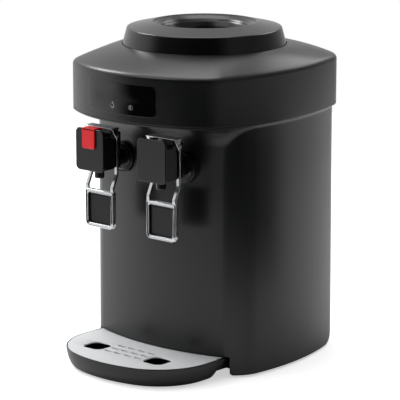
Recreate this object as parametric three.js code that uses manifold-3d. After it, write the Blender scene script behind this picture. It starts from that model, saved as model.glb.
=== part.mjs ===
// Countertop water cooler with a hot and a cold tap, fed by a bottle set upside down in its top.
// Millimetres, +Z up, front facing -Y. The origin is on the table under the middle.

import * as THREE from 'three';
import { mergeVertices } from 'three/addons/utils/BufferGeometryUtils.js';
import Module from 'manifold-3d';

const wasm = await Module();
wasm.setup();

// Driving dimensions of the casing
const bodyWidth = 270;
const bodyDepth = 257.2;
const bodyHeight = 325.5;
const bodyDraft = 1.45; // the body widens by this much on each side towards the table
const footHeight = 3;
const headSideOverhang = 8;
const headFrontOverhang = 63.15;
const headSideHeight = 63.35;
const crownRise = 20.55;
const wall = 2.6;
const trayReach = 101.4; // from the body's front to the front of the drip tray

// Driving dimensions of the bottle seat
const collarRadius = 106.2;
const collarHeight = 28.3;
const collarForward = 27.5; // the seat's axis lies this far in front of the body's middle
const bowlRadius = 52.6;

// Driving dimensions of the taps
const tapSpacing = 106.6;
const tapHeight = 266.5; // tap axis above the underside of the body
const tapReach = 58.2; // from the casing's tap pad to the tap's square face
const tapPadProud = 1.6;

// Driving dimensions of the drip tray
const trayHalfWidth = 108.4;
const trayTopZ = 26.5;
const trayClearance = 1.5; // under the tray

// Clearances
const seat = 0.3; // between pieces that rest on or in each other
const liftClearance = 2.6; // round what is lifted out by hand
const overrun = 3; // how far a cut passes the face that it opens

// Places that follow
const bodyFrontY = trayReach - (trayReach + bodyDepth + bodyDraft) / 2;
const bodyBackY = bodyFrontY + bodyDepth;
const bodyMiddleY = (bodyFrontY + bodyBackY) / 2;
const headBottomZ = footHeight + bodyHeight;
const shoulderZ = headBottomZ + headSideHeight;
const crownZ = shoulderZ + crownRise;
const seatY = bodyMiddleY - collarForward;
const tapZ = footHeight + tapHeight;
const tapPadY = bodyFrontY - tapPadProud;

// Materials
const finish = (color, roughness, metalness = 0) =>
  new THREE.MeshStandardMaterial({ color, roughness, metalness });
const satinBlack = finish(0x2e2f31, 0.45);
const glossBlack = finish(0x151516, 0.15);
const mattBlack = finish(0x202123, 0.65);
const chrome = finish(0xd8dadc, 0.15, 1);
const brushedSteel = finish(0xc9cacd, 0.35, 1);
const redPlastic = finish(0xe62a35, 0.4);
const rubber = finish(0x1a1a1a, 0.85);
const foam = finish(0xd9d6cc, 0.95);
const aluminium = finish(0xb9bcbf, 0.4, 1);
const siliconeHose = finish(0xdfe3e2, 0.4);
const circuitGreen = finish(0x1f5a3a, 0.55);
const naturalPlastic = finish(0xe4e6e4, 0.5);
const ceramic = finish(0xeeeeea, 0.6);
const hotLamp = finish(0xc8503c, 0.2);
const coldLamp = finish(0x4aa0d8, 0.2);
const zincSteel = finish(0x9a9da0, 0.45, 1);

const cooler = new THREE.Group();

// Solids from three.js geometries
const mergeDistance = 1e-4;

function solid(geometry) {
  const bare = new THREE.BufferGeometry();
  bare.setAttribute('position', geometry.getAttribute('position'));
  bare.setIndex(geometry.getIndex());
  const merged = mergeVertices(bare, mergeDistance);
  const points = merged.getAttribute('position').array;
  const index = merged.getIndex().array;
  const corner = (i) => new THREE.Vector3().fromArray(points, i * 3);
  const faces = [];
  let volume = 0;
  for (let i = 0; i < index.length; i += 3) {
    const [a, b, c] = [index[i], index[i + 1], index[i + 2]];
    if (a === b || b === c || c === a) continue;
    faces.push([a, b, c]);
    volume += corner(a).dot(corner(b).cross(corner(c)));
  }
  const triangles = volume > 0 ? faces.flat() : faces.map(([a, b, c]) => [a, c, b]).flat();
  return new wasm.Manifold(new wasm.Mesh({
    numProp: 3,
    vertProperties: new Float32Array(points),
    triVerts: new Uint32Array(triangles),
  }));
}

const join = (...pieces) => pieces.reduce((whole, piece) => whole.add(piece));
const cut = (body, ...tools) => tools.reduce((whole, tool) => whole.subtract(tool), body);

function addPart(name, shape, material, group = cooler) {
  const { vertProperties, triVerts } = shape.getMesh();
  const geometry = new THREE.BufferGeometry();
  geometry.setAttribute('position', new THREE.BufferAttribute(new Float32Array(vertProperties), 3));
  geometry.setIndex(new THREE.BufferAttribute(new Uint32Array(triVerts), 1));
  geometry.computeVertexNormals();
  const mesh = new THREE.Mesh(geometry, material);
  mesh.name = name;
  group.add(mesh);
}

const at = (x, y, z) => new THREE.Vector3(x, y, z);

function box(x0, x1, y0, y1, z0, z1) {
  const geometry = new THREE.BoxGeometry(x1 - x0, y1 - y0, z1 - z0);
  return solid(geometry.translate((x0 + x1) / 2, (y0 + y1) / 2, (z0 + z1) / 2));
}

// A revolved piece: profile points are [radius, height along the axis]
function turned(axis, profile, place, segments = 24) {
  const points = [...profile, profile[0]].map(([radius, height]) => new THREE.Vector2(radius, height));
  const geometry = new THREE.LatheGeometry(points, segments);
  if (axis === 'z') geometry.rotateX(Math.PI / 2);
  if (axis === 'x') geometry.rotateZ(-Math.PI / 2);
  return solid(geometry.translate(place.x, place.y, place.z));
}

const rod = (axis, radius, from, to, place, segments = 24) =>
  turned(axis, [[0, from], [radius, from], [radius, to], [0, to]], place, segments);
const sleeve = (axis, outer, inner, from, to, place, segments = 24) =>
  turned(axis, [[inner, from], [outer, from], [outer, to], [inner, to]], place, segments);

// A flat outline carried along an axis: the outline is drawn in (y, z), (x, z) or (x, y)
function prism(axis, outline, from, to, curveSegments = 4) {
  const geometry = new THREE.ExtrudeGeometry(outline, { depth: to - from, bevelEnabled: false,
    curveSegments });
  const turn = new THREE.Matrix4();
  if (axis === 'x') turn.makeBasis(at(0, 1, 0), at(0, 0, 1), at(1, 0, 0)).setPosition(from, 0, 0);
  if (axis === 'y') turn.makeBasis(at(1, 0, 0), at(0, 0, 1), at(0, -1, 0)).setPosition(0, to, 0);
  if (axis === 'z') turn.setPosition(0, 0, from);
  return solid(geometry.applyMatrix4(turn));
}

const flat = (outline) => new THREE.Shape(outline.map((point) => new THREE.Vector2(point.x, point.y)));
const polygon = (points) => new THREE.Shape(points.map(([x, y]) => new THREE.Vector2(x, y)));

function roundedRectangle(x0, x1, y0, y1, radius) {
  const shape = new THREE.Shape();
  shape.absarc(x1 - radius, y0 + radius, radius, -Math.PI / 2, 0, false);
  shape.absarc(x1 - radius, y1 - radius, radius, 0, Math.PI / 2, false);
  shape.absarc(x0 + radius, y1 - radius, radius, Math.PI / 2, Math.PI, false);
  shape.absarc(x0 + radius, y0 + radius, radius, Math.PI, Math.PI * 1.5, false);
  return shape;
}

// Faces of a flat ring's end cap, in the ring's own turning sense
function capFaces(ring) {
  const normal = at(0, 0, 0);
  ring.forEach((point, i) => normal.add(point.clone().cross(ring[(i + 1) % ring.length])));
  const farthest = ring.reduce((best, p) => (p.distanceTo(ring[0]) > best.distanceTo(ring[0]) ? p : best));
  const across = farthest.clone().sub(ring[0]).normalize();
  const upward = normal.normalize().cross(across);
  const flat = ring.map((p) => new THREE.Vector2(p.dot(across), p.dot(upward)));
  const faces = THREE.ShapeUtils.triangulateShape(flat, []);
  const area = faces.reduce((sum, face) => sum + THREE.ShapeUtils.area(face.map((i) => flat[i])), 0);
  const agrees = area * THREE.ShapeUtils.area(flat) > 0;
  return faces.map(([a, b, c]) => (agrees ? [a, b, c] : [a, c, b]));
}

// A skin over rings of points, closed on itself or capped at both ends
function loft(rings, closed = false) {
  const size = rings[0].length;
  const index = [];
  rings.forEach((ring, row) => {
    const next = (row + 1) % rings.length;
    if (next === 0 && !closed) return;
    for (let i = 0; i < size; i += 1) {
      const j = (i + 1) % size;
      const [a, b, c, d] = [row * size + i, row * size + j, next * size + j, next * size + i];
      index.push(a, b, c, a, c, d);
    }
  });
  if (!closed) {
    const last = (rings.length - 1) * size;
    capFaces(rings[0]).forEach(([a, b, c]) => index.push(a, c, b));
    capFaces(rings.at(-1)).forEach(([a, b, c]) => index.push(last + a, last + b, last + c));
  }
  const geometry = new THREE.BufferGeometry();
  const positions = rings.flat().flatMap((point) => point.toArray());
  geometry.setAttribute('position', new THREE.Float32BufferAttribute(positions, 3));
  geometry.setIndex(index);
  return solid(geometry);
}

// A round bar along a route of straight runs joined by bends
function bentBar(corners, radius, bend, sides = 8) {
  const route = new THREE.CurvePath();
  let start = corners[0];
  corners.slice(1, -1).forEach((corner, i) => {
    const back = corners[i].clone().sub(corner).normalize();
    const ahead = corners[i + 2].clone().sub(corner).normalize();
    const [from, to] = [back, ahead].map((way) => corner.clone().addScaledVector(way, bend));
    route.add(new THREE.LineCurve3(start, from));
    route.add(new THREE.QuadraticBezierCurve3(from, corner, to));
    start = to;
  });
  route.add(new THREE.LineCurve3(start, corners.at(-1)));
  const bendSteps = 5;
  const stations = route.curves.flatMap((curve, i) => {
    const steps = curve.isLineCurve3 ? 1 : bendSteps;
    const first = i === 0 ? 0 : 1;
    return Array.from({ length: steps + 1 - first }, (_, k) => {
      const t = (k + first) / steps;
      return [curve.getPoint(t), curve.getTangent(t)];
    });
  });
  let side = at(0, 0, 1).cross(stations[0][1]);
  if (side.length() < Math.SQRT1_2) side = at(1, 0, 0);
  const rings = stations.map(([centre, tangent]) => {
    side = side.clone().addScaledVector(tangent, -side.dot(tangent)).normalize();
    const other = tangent.clone().cross(side);
    return Array.from({ length: sides }, (_, k) => {
      const angle = (2 * Math.PI * k) / sides;
      return centre.clone().addScaledVector(side, radius * Math.cos(angle))
        .addScaledVector(other, radius * Math.sin(angle));
    });
  });
  return loft(rings);
}

// Casing plan: a bowed front, two bowed sides and a nearly flat back, joined by round corners
const bodyFrontBow = 309.4;
const bodySideBow = 348.5;
const bodyFrontCorner = 43.7;
const rearCornerShare = 0.1926; // of the body's width
const bodyRearCorner = bodyWidth * rearCornerShare;
const headFrontBow = 193.8;
const headFrontCorner = 39.65;
const headRearCorner = 60;
const backBow = 3000;
const widestForward = 28.3; // the sides are widest this far in front of the body's middle

// Centre of an arc of this radius that touches two larger arcs from inside
function cornerArc(one, other, radius, towards) {
  const [reachOne, reachOther] = [one.radius - radius, other.radius - radius];
  const between = other.centre.clone().sub(one.centre);
  const apart = between.length();
  const along = (reachOne ** 2 - reachOther ** 2 + apart ** 2) / (2 * apart);
  const aside = Math.sqrt(reachOne ** 2 - along ** 2);
  const unit = between.normalize();
  const normal = new THREE.Vector2(-unit.y, unit.x);
  const foot = one.centre.clone().addScaledVector(unit, along);
  const choices = [aside, -aside].map((shift) => foot.clone().addScaledVector(normal, shift));
  choices.sort((a, b) => b.dot(towards) - a.dot(towards));
  return { centre: choices[0], radius };
}

const headingOf = (from, to) => Math.atan2(to.centre.y - from.centre.y, to.centre.x - from.centre.x);

// The right half of a plan as a list of arcs from the front centre to the back centre
function casingPlan(halfWidth, frontY, backY, frontBow, sideBow, frontCorner, rearCorner) {
  const arc = (x, y, radius) => ({ centre: new THREE.Vector2(x, y), radius });
  const front = arc(0, frontY + frontBow, frontBow);
  const side = arc(halfWidth - sideBow, bodyMiddleY - widestForward, sideBow);
  const back = arc(0, backY - backBow, backBow);
  const nose = cornerArc(front, side, frontCorner, new THREE.Vector2(1, -1));
  const heel = cornerArc(side, back, rearCorner, new THREE.Vector2(1, 1));
  const turns = [-Math.PI / 2, headingOf(front, nose), headingOf(side, nose), headingOf(side, heel),
    headingOf(back, heel), Math.PI / 2];
  return [front, nose, side, heel, back].map((each, i) => ({ ...each, from: turns[i], to: turns[i + 1] }));
}

const bodyPlan = casingPlan(bodyWidth / 2, bodyFrontY, bodyBackY, bodyFrontBow, bodySideBow,
  bodyFrontCorner, bodyRearCorner);
const headPlan = casingPlan(bodyWidth / 2 + headSideOverhang, bodyFrontY - headFrontOverhang, bodyBackY,
  headFrontBow, bodySideBow + headSideOverhang, headFrontCorner, headRearCorner);

// Steps on the front, front corner, side, rear corner and back arcs
const planSteps = [5, 5, 4, 5, 2];
const wrapSteps = planSteps.slice(0, -1).reduce((sum, steps) => sum + steps);

// Points and outward directions on a plan moved inwards by inset: all round, the wrap or the back
function planRow(plan, inset = 0, stretch = 'round') {
  const half = plan.flatMap((arc, i) => {
    const first = i === 0 ? 0 : 1;
    return Array.from({ length: planSteps[i] + 1 - first }, (_, k) => {
      const angle = arc.from + ((arc.to - arc.from) * (k + first)) / planSteps[i];
      const out = new THREE.Vector2(Math.cos(angle), Math.sin(angle));
      return { point: arc.centre.clone().addScaledVector(out, arc.radius - inset), out };
    });
  });
  const mirror = ({ point, out }) =>
    ({ point: new THREE.Vector2(-point.x, point.y), out: new THREE.Vector2(-out.x, out.y) });
  const inner = half.slice(1, -1);
  if (stretch === 'wrap') {
    const front = half.slice(0, wrapSteps + 1);
    return [...front.slice(1).reverse().map(mirror), ...front];
  }
  if (stretch === 'back') {
    const back = half.slice(wrapSteps);
    return [...back, ...back.slice(0, -1).reverse().map(mirror)];
  }
  return [...half, ...inner.reverse().map(mirror)];
}

const planShape = (plan, inset) => polygon(planRow(plan, inset).map(({ point }) => [point.x, point.y]));
const rise = ({ point }, z) => at(point.x, point.y, z);

// How far the body's wall stands out at a height
const draftAt = (z) => bodyDraft * (1 - (z - footHeight) / bodyHeight);

// Y of a bowed front at a place across it
const bowY = (frontY, bow, x) => frontY + bow - Math.sqrt(bow ** 2 - x ** 2);

// Front shell: front and sides in one moulding that flares out under the head in a cove
const coveRadius = 30;
const coveShare = 0.9;
const coveSteps = 5;
const lipHeight = 6;
const lipWall = 1.6;
const tapPadRadius = 20;
const tapBossDepth = 13.2;
const bayHalfWidth = 118.5;
const bayHeight = 29.5;
const bayDepth = 52.6; // behind the body's front
const bayFlare = 4;
const shankRadius = 8;

function bayOpening() {
  const shape = new THREE.Shape();
  const side = bayHalfWidth + bayFlare;
  shape.moveTo(-side, -overrun);
  shape.lineTo(side, -overrun);
  shape.lineTo(side, footHeight);
  shape.absarc(side, footHeight + bayFlare, bayFlare, -Math.PI / 2, -Math.PI, true);
  shape.lineTo(bayHalfWidth, bayHeight);
  shape.lineTo(-bayHalfWidth, bayHeight);
  shape.absarc(-side, footHeight + bayFlare, bayFlare, 0, -Math.PI / 2, true);
  return shape;
}

// How far the head stands out ahead of a place on the body's plan
function overhangAt({ point, out }) {
  const start = new THREE.Vector2(Math.abs(point.x), point.y);
  const way = new THREE.Vector2(Math.abs(out.x), out.y);
  const hits = headPlan.map(({ centre, radius, from, to }) => {
    const offset = start.clone().sub(centre);
    const along = offset.dot(way);
    const reach = Math.sqrt(along ** 2 + radius ** 2 - offset.lengthSq()) - along;
    const hit = offset.addScaledVector(way, reach);
    const angle = Math.atan2(hit.y, hit.x);
    return angle >= from - mergeDistance && angle <= to + mergeDistance ? reach : Infinity;
  });
  return Math.max(Math.min(...hits), 0);
}

function frontShell() {
  const base = planRow(bodyPlan, -bodyDraft, 'wrap');
  const top = planRow(bodyPlan, 0, 'wrap');
  const sizes = top.map((place) => Math.min(coveRadius, coveShare * overhangAt(place)));
  const place = ({ point, out }, outward, z) => at(point.x + out.x * outward, point.y + out.y * outward, z);
  const rings = top.map((row, i) => {
    const cove = (size) => Array.from({ length: coveSteps + 1 }, (_, k) => {
      const angle = (Math.PI / 2) * (k / coveSteps);
      return place(row, sizes[i] - size * Math.cos(angle), headBottomZ - sizes[i] + size * Math.sin(angle));
    });
    return [
      rise(base[i], footHeight),
      ...cove(sizes[i]),
      ...cove(sizes[i] + wall).reverse(),
      place(base[i], -wall, footHeight),
    ];
  });
  const endX = top.at(-1).point.x;
  const beforeBack = (shape) => shape.subtract(box(-endX, endX, bodyMiddleY, bodyBackY + overrun,
    headBottomZ - overrun, shoulderZ));
  const mouth = top.map((row, i) => place(row, sizes[i] - wall / 2, 0));
  const flange = beforeBack(prism('z', planShape(headPlan, 0), headBottomZ, headBottomZ + wall)
    .subtract(prism('z', flat(mouth), headBottomZ - overrun, headBottomZ + wall + overrun)));
  const strip = (outer, inner, z0, z1) => beforeBack(prism('z', planShape(headPlan, outer), z0, z1)
    .subtract(prism('z', planShape(headPlan, inner), z0 - overrun, z1 + overrun)));
  const lipOuter = wall + seat;
  const lipInner = lipOuter + lipWall;
  const lip = join(strip(wall / 2, lipInner, headBottomZ + wall - lipWall, headBottomZ + wall - seat),
    strip(lipOuter, lipInner, headBottomZ + wall - lipWall, headBottomZ + wall + lipHeight));
  const tapPlaces = [-tapSpacing / 2, tapSpacing / 2].map((x) => at(x, tapPadY, tapZ));
  const pads = tapPlaces.map((place) => rod('y', tapPadRadius, 0, tapBossDepth, place, 32));
  const holes = tapPlaces.map((place) => rod('y', shankRadius + seat, -overrun, tapBossDepth + overrun,
    place));
  const bay = prism('y', bayOpening(), -bodyDepth, bodyFrontY + bayDepth);
  return cut(join(loft(rings), flange, lip, ...pads), ...holes, bay);
}
addPart('front_shell', frontShell(), satinBlack);

// Rear panel: closes the back between the shell's returns, with tongues behind them
const tongueReach = 9;
const tongueWall = 2;
const tongueSet = 1.9; // further in than the shell's wall, which curves away
const tongueEnds = 18; // clear of the panel's top and bottom
const wellBottomZ = 30;
const wellTopZ = 146;
const wellDepth = 10;
const fanSideGap = 9.9; // between the fan's frame and the tongues
const wellSideGap = 2.9; // between the well and the panel's edges
const fanZ = 274;
const ventSlots = 9;
const ventSlotHeight = 4;
const ventBlank = 3; // kept clear round the vent inside the fan's bore
const lowVentSlots = 5;
const lowVentHalfWidth = 50;
const lowVentZ = 168;
const drainZ = 60;
const hotTankX = -14;
const drainRadius = 6;
const inletX = 34;
const inletZ = 62;
const inletHalfWidth = 13.6;
const inletHalfHeight = 9.8;
const switchZ = 118;
const switchHalfWidth = 23.5;
const switchHalfHeight = 12;
const wellFloorY = bodyBackY - wellDepth;
const panelHalfWidth = planRow(bodyPlan, 0, 'back')[0].point.x - seat;
const wellHalfWidth = panelHalfWidth - wellSideGap;
const fanSize = 2 * (panelHalfWidth - tongueReach - fanSideGap);
const panelInnerY = bodyBackY - wall;
const returnInnerY = planRow(bodyPlan, wall, 'back')[0].point.y;
const fanBore = fanSize / 2 - ventBlank;
const ventPitch = (2 * (fanBore - ventBlank - ventSlotHeight)) / (ventSlots - 1);

function slot(axis, x0, x1, z0, z1, from, to) {
  return prism(axis, roundedRectangle(x0, x1, z0, z1, (z1 - z0) / 2), from, to, 2);
}

function rearPanel() {
  const foot = planRow(bodyPlan, -bodyDraft, 'back');
  const top = planRow(bodyPlan, 0, 'back');
  const narrow = (x) => THREE.MathUtils.clamp(x, -panelHalfWidth, panelHalfWidth);
  const rings = foot.map(({ point }, i) => {
    const x = narrow(top[i].point.x);
    const topZ = headBottomZ + wall;
    return [at(x, point.y, footHeight), at(x, top[i].point.y, topZ),
      at(x, top[i].point.y - wall, topZ), at(x, point.y - wall, footHeight)];
  });
  const tongues = [-1, 1].map((side) => {
    const ring = (z) => {
      const inner = returnInnerY + draftAt(z);
      const back = inner - tongueSet - tongueWall;
      const edge = panelHalfWidth - tongueReach;
      const points = [[edge, inner + wall / 2], [edge, back], [panelHalfWidth + tongueReach, back],
        [panelHalfWidth + tongueReach, back + tongueWall], [panelHalfWidth - tongueWall, back + tongueWall],
        [panelHalfWidth - tongueWall, inner + wall / 2]];
      return points.map(([x, y]) => at(side * x, y, z));
    };
    return loft([ring(footHeight + tongueEnds), ring(headBottomZ - tongueEnds)]);
  });
  const well = box(-wellHalfWidth, wellHalfWidth, wellFloorY - wall, panelInnerY + wall / 2, wellBottomZ,
    wellTopZ);
  const wellSpace = box(wall - wellHalfWidth, wellHalfWidth - wall, wellFloorY, bodyBackY + overrun,
    wellBottomZ + wall, wellTopZ - wall);
  const through = [wellFloorY - wall - overrun, bodyBackY + overrun];
  const vents = Array.from({ length: ventSlots }, (_, i) => {
    const z = fanZ + (i - (ventSlots - 1) / 2) * ventPitch;
    const half = Math.sqrt((fanBore - ventBlank) ** 2 - (Math.abs(z - fanZ) + ventSlotHeight / 2) ** 2);
    return slot('y', -half, half, z - ventSlotHeight / 2, z + ventSlotHeight / 2, ...through);
  });
  const lowVents = Array.from({ length: lowVentSlots }, (_, i) => {
    const z = lowVentZ + i * ventPitch;
    return slot('y', -lowVentHalfWidth, lowVentHalfWidth, z, z + ventSlotHeight, ...through);
  });
  const drainHole = rod('y', drainRadius + seat, ...through, at(hotTankX, 0, drainZ));
  const inletHole = box(inletX - inletHalfWidth - seat, inletX + inletHalfWidth + seat, ...through,
    inletZ - inletHalfHeight - seat, inletZ + inletHalfHeight + seat);
  const switchHole = box(-switchHalfWidth - seat, switchHalfWidth + seat, ...through,
    switchZ - switchHalfHeight - seat, switchZ + switchHalfHeight + seat);
  return cut(join(loft(rings), ...tongues, well), wellSpace, ...vents, ...lowVents, drainHole, inletHole,
    switchHole);
}
addPart('rear_panel', rearPanel(), satinBlack);

// Head cover: upright sides, a small round shoulder and a crown that rises to the bottle seat
const shoulderRound = 4;
const crownSteps = 5;
const crownDomeShare = 0.45;
const seatGap = 0.4; // dark line round the collar
const seatRebate = 2.5;
const seatLedge = 10;
const seatMargin = 1.2;
const collarSegments = 48;
const displayHalfWidth = 54.5;
const displayBottomZ = 340.6;
const displayTopZ = 379;
const displayCorner = 3.3;
const displayProud = 0.5;
const displayPocket = 1.6;
const hotLampX = -8.8;
const coldLampX = 21.5;
const lampZ = 351;
const lampRadius = 3;
const boardGap = 8; // from the head's front wall to the indicator board
const boardPostX = 36;
const boardPostRadius = 3;
const headFrontY = bodyFrontY - headFrontOverhang;
const boardFrontY = headFrontY + wall + boardGap;
const seatAxis = at(0, seatY, 0);

// A band along the head's front bow between two depths
function frontBand(halfWidth, z0, z1, front, back, corner) {
  const plate = prism('y', roundedRectangle(-halfWidth, halfWidth, z0, z1, corner), headFrontY - overrun,
    bowY(headFrontY, headFrontBow, halfWidth) + wall + overrun, 3);
  const bow = (inset) => {
    const half = headPlan[0];
    const steps = 16;
    return Array.from({ length: steps + 1 }, (_, i) => {
      const x = (halfWidth + overrun) * (2 * (i / steps) - 1);
      const radius = half.radius - inset;
      return [x, half.centre.y - Math.sqrt(radius ** 2 - x ** 2)];
    });
  };
  return plate.intersect(prism('z', polygon([...bow(front), ...bow(back).reverse()]), z0 - overrun,
    z1 + overrun));
}

function headCover() {
  const rim = planRow(headPlan);
  const bottomZ = headBottomZ + wall + seat;
  const climb = (share) => crownDomeShare * (1 - (1 - share) ** 2) + (1 - crownDomeShare) * share;
  const rings = rim.map(({ point, out }) => {
    const toSeat = new THREE.Vector2(point.x, point.y - seatY).normalize();
    const onSeat = (radius) => toSeat.clone().multiplyScalar(radius).add(new THREE.Vector2(0, seatY));
    const edge = onSeat(collarRadius + seatMargin);
    const inside = point.clone().addScaledVector(out, -wall);
    const crown = (from, drop, z0, steps, start) => Array.from({ length: steps + 1 }, (_, k) => {
      const share = start + (1 - start) * (k / steps);
      const place = from.clone().lerp(edge, share);
      return at(place.x, place.y, z0 - drop + (crownZ - z0) * climb(share));
    });
    const roundShares = [0.3, 0.7];
    const startShare = shoulderRound / point.distanceTo(edge);
    const slopeZ = shoulderZ + (crownZ - shoulderZ) * climb(startShare);
    const shoulder = roundShares.map((share) => {
      const inward = shoulderRound * (1 - Math.sqrt(1 - share ** 2));
      const place = point.clone().lerp(edge, inward / point.distanceTo(edge));
      return at(place.x, place.y, shoulderZ - shoulderRound + (slopeZ - shoulderZ + shoulderRound) * share);
    });
    const hole = onSeat(collarRadius - seatLedge - overrun);
    const floorZ = crownZ - seatRebate - wall;
    const shelf = onSeat(collarRadius + seatMargin + wall);
    return [
      at(point.x, point.y, bottomZ),
      at(point.x, point.y, shoulderZ - shoulderRound),
      ...shoulder,
      ...crown(point, 0, shoulderZ, crownSteps, startShare),
      at(hole.x, hole.y, crownZ),
      at(hole.x, hole.y, floorZ),
      at(shelf.x, shelf.y, floorZ),
      ...crown(inside, wall, shoulderZ, 2, startShare).reverse().slice(1),
      at(inside.x, inside.y, shoulderZ - shoulderRound),
      at(inside.x, inside.y, bottomZ),
    ];
  });
  const rebate = rod('z', collarRadius + seatGap, crownZ - seatRebate, crownZ + overrun, seatAxis,
    collarSegments);
  const opening = rod('z', collarRadius - seatLedge, shoulderZ, crownZ + overrun, seatAxis, collarSegments);
  const pocket = frontBand(displayHalfWidth + seat, displayBottomZ - seat, displayTopZ + seat, -overrun,
    displayPocket, displayCorner);
  const lampHoles = [hotLampX, coldLampX].map((x) =>
    rod('y', lampRadius + seat, headFrontY - overrun, boardFrontY, at(x, 0, lampZ), 16));
  const postZ = (displayBottomZ + displayTopZ) / 2;
  const posts = [-boardPostX, boardPostX].map((x) =>
    rod('y', boardPostRadius,
      bowY(headFrontY, headFrontBow, boardPostX + boardPostRadius) + displayPocket + seat, boardFrontY - seat,
      at(x, 0, postZ), 12));
  return join(cut(loft(rings, true), rebate, opening, pocket, ...lampHoles), ...posts);
}
addPart('head_cover', headCover(), satinBlack);

// Display: a glossy curved window with two indicator lamps behind it
function displayPanel() {
  const plate = frontBand(displayHalfWidth, displayBottomZ, displayTopZ, -displayProud,
    displayPocket - seat,
    displayCorner);
  const holes = [hotLampX, coldLampX].map((x) =>
    rod('y', lampRadius + seat, headFrontY - overrun, boardFrontY, at(x, 0, lampZ), 16));
  return cut(plate, ...holes);
}
addPart('display_panel', displayPanel(), glossBlack);

const boardThickness = 1.6;
const boardHalfWidth = 44;
const boardHalfHeight = 14;
const diodeRadius = 2;
const diodeLength = 4;

function indicatorLens(x) {
  const front = bowY(headFrontY, headFrontBow, x) - displayProud;
  return rod('y', lampRadius, front, boardFrontY - diodeLength - seat, at(x, 0, lampZ), 16);
}
addPart('hot_lens', indicatorLens(hotLampX), hotLamp);
addPart('cold_lens', indicatorLens(coldLampX), coldLamp);

function indicatorBoard() {
  const middleZ = (displayBottomZ + displayTopZ) / 2;
  const board = box(-boardHalfWidth, boardHalfWidth, boardFrontY, boardFrontY + boardThickness,
    middleZ - boardHalfHeight, middleZ + boardHalfHeight);
  const diodes = [hotLampX, coldLampX].map((x) =>
    rod('y', diodeRadius, boardFrontY - diodeLength, boardFrontY + boardThickness / 2,
      at(x, 0, lampZ), 12));
  return join(board, ...diodes);
}
addPart('indicator_board', indicatorBoard(), circuitGreen);

// Bottle collar: a conical ring that lifts out of the head's rebate with the funnel
const collarCornerRadius = 100.4;
const collarRidgeRadius = 68.2;
const collarWallHeight = 21;
const collarEdgeRound = 1.6;
const collarLipHeight = 1.2;
const collarLipStep = 0.5;
const collarDish = 2;
const ridgeRound = 1.2;
const collarTopZ = crownZ + collarHeight;
const collarFootZ = crownZ - seatRebate + seat;
const bowlEdgeZ = collarTopZ - collarDish;

function bottleCollar() {
  const cornerZ = crownZ + collarWallHeight;
  const profile = [
    [collarRadius, collarFootZ],
    [collarRadius, crownZ + collarLipHeight],
    [collarRadius - collarLipStep, crownZ + collarLipHeight + collarLipStep],
    [collarCornerRadius + collarEdgeRound / 3, cornerZ - collarEdgeRound],
    [collarCornerRadius - collarEdgeRound / 2, cornerZ - collarEdgeRound / 3],
    [collarCornerRadius - 2 * collarEdgeRound, cornerZ + collarEdgeRound / 4],
    [collarRidgeRadius + ridgeRound, collarTopZ - ridgeRound / 4],
    [collarRidgeRadius - ridgeRound, collarTopZ - ridgeRound / 4],
    [bowlRadius, bowlEdgeZ],
    [bowlRadius, bowlEdgeZ - wall],
    [collarRidgeRadius, collarTopZ - wall],
    [collarCornerRadius - wall, cornerZ - wall],
    [collarRadius - wall, crownZ + collarLipHeight],
    [collarRadius - wall, collarFootZ],
  ];
  return turned('z', profile, seatAxis, collarSegments);
}
addPart('bottle_collar', bottleCollar(), satinBlack);

// Funnel: the bottle's shoulder rests in its mouth and the neck stands in its well
const bowlWall = 2;
const bowlFlange = 7;
const neckWellRadius = 30;
const neckWellDepth = 20;
const bowlDepth = 51;
const probeRadius = 8;
const bowlCurveShares = [[1, 1], [0.96, 0.93], [0.84, 0.74], [0.66, 0.52], [0.4, 0.3], [0.14, 0.13],
  [0, 0]];
const bowlFloorZ = bowlEdgeZ - bowlDepth;

function funnelBowl() {
  const mouth = bowlRadius - seat;
  const wellTopZ = bowlFloorZ + neckWellDepth;
  const curve = (offset) => bowlCurveShares.map(([outShare, upShare]) => [
    neckWellRadius + (mouth - bowlWall - neckWellRadius) * outShare + offset,
    wellTopZ + (bowlEdgeZ - wellTopZ) * upShare - offset / 2,
  ]);
  const flangeZ = bowlEdgeZ - wall - seat;
  const profile = [
    ...curve(0),
    [neckWellRadius, bowlFloorZ],
    [probeRadius + seat, bowlFloorZ],
    [probeRadius + seat, bowlFloorZ - bowlWall],
    [neckWellRadius + bowlWall, bowlFloorZ - bowlWall],
    ...curve(bowlWall).reverse().slice(0, -2),
    [mouth, flangeZ - bowlWall],
    [mouth + bowlFlange, flangeZ - bowlWall],
    [mouth + bowlFlange, flangeZ],
    [mouth, flangeZ],
    [mouth, bowlEdgeZ],
  ];
  return turned('z', profile, seatAxis, 32);
}
addPart('funnel_bowl', funnelBowl(), glossBlack);

// Feed probe: pierces the bottle's cap and leads the water down into the cold tank
const probeWall = 2.5;
const probeHeight = 38;
const probeTip = 10;
const probeFlange = 12;
const probeFlangeThickness = 2;
const probeWindows = 3;
const probeWindowHalf = 2.4;
const probeWindowHeight = 16;
const tankDrop = 22.7; // the tank's rim lies this far below the bowl's floor
const tankTopZ = bowlFloorZ - tankDrop;
const lidThickness = 5;
const spoutDepth = 6; // the probe's spout reaches this far below the lid's top
const lidTopZ = tankTopZ + seat + lidThickness;

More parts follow.
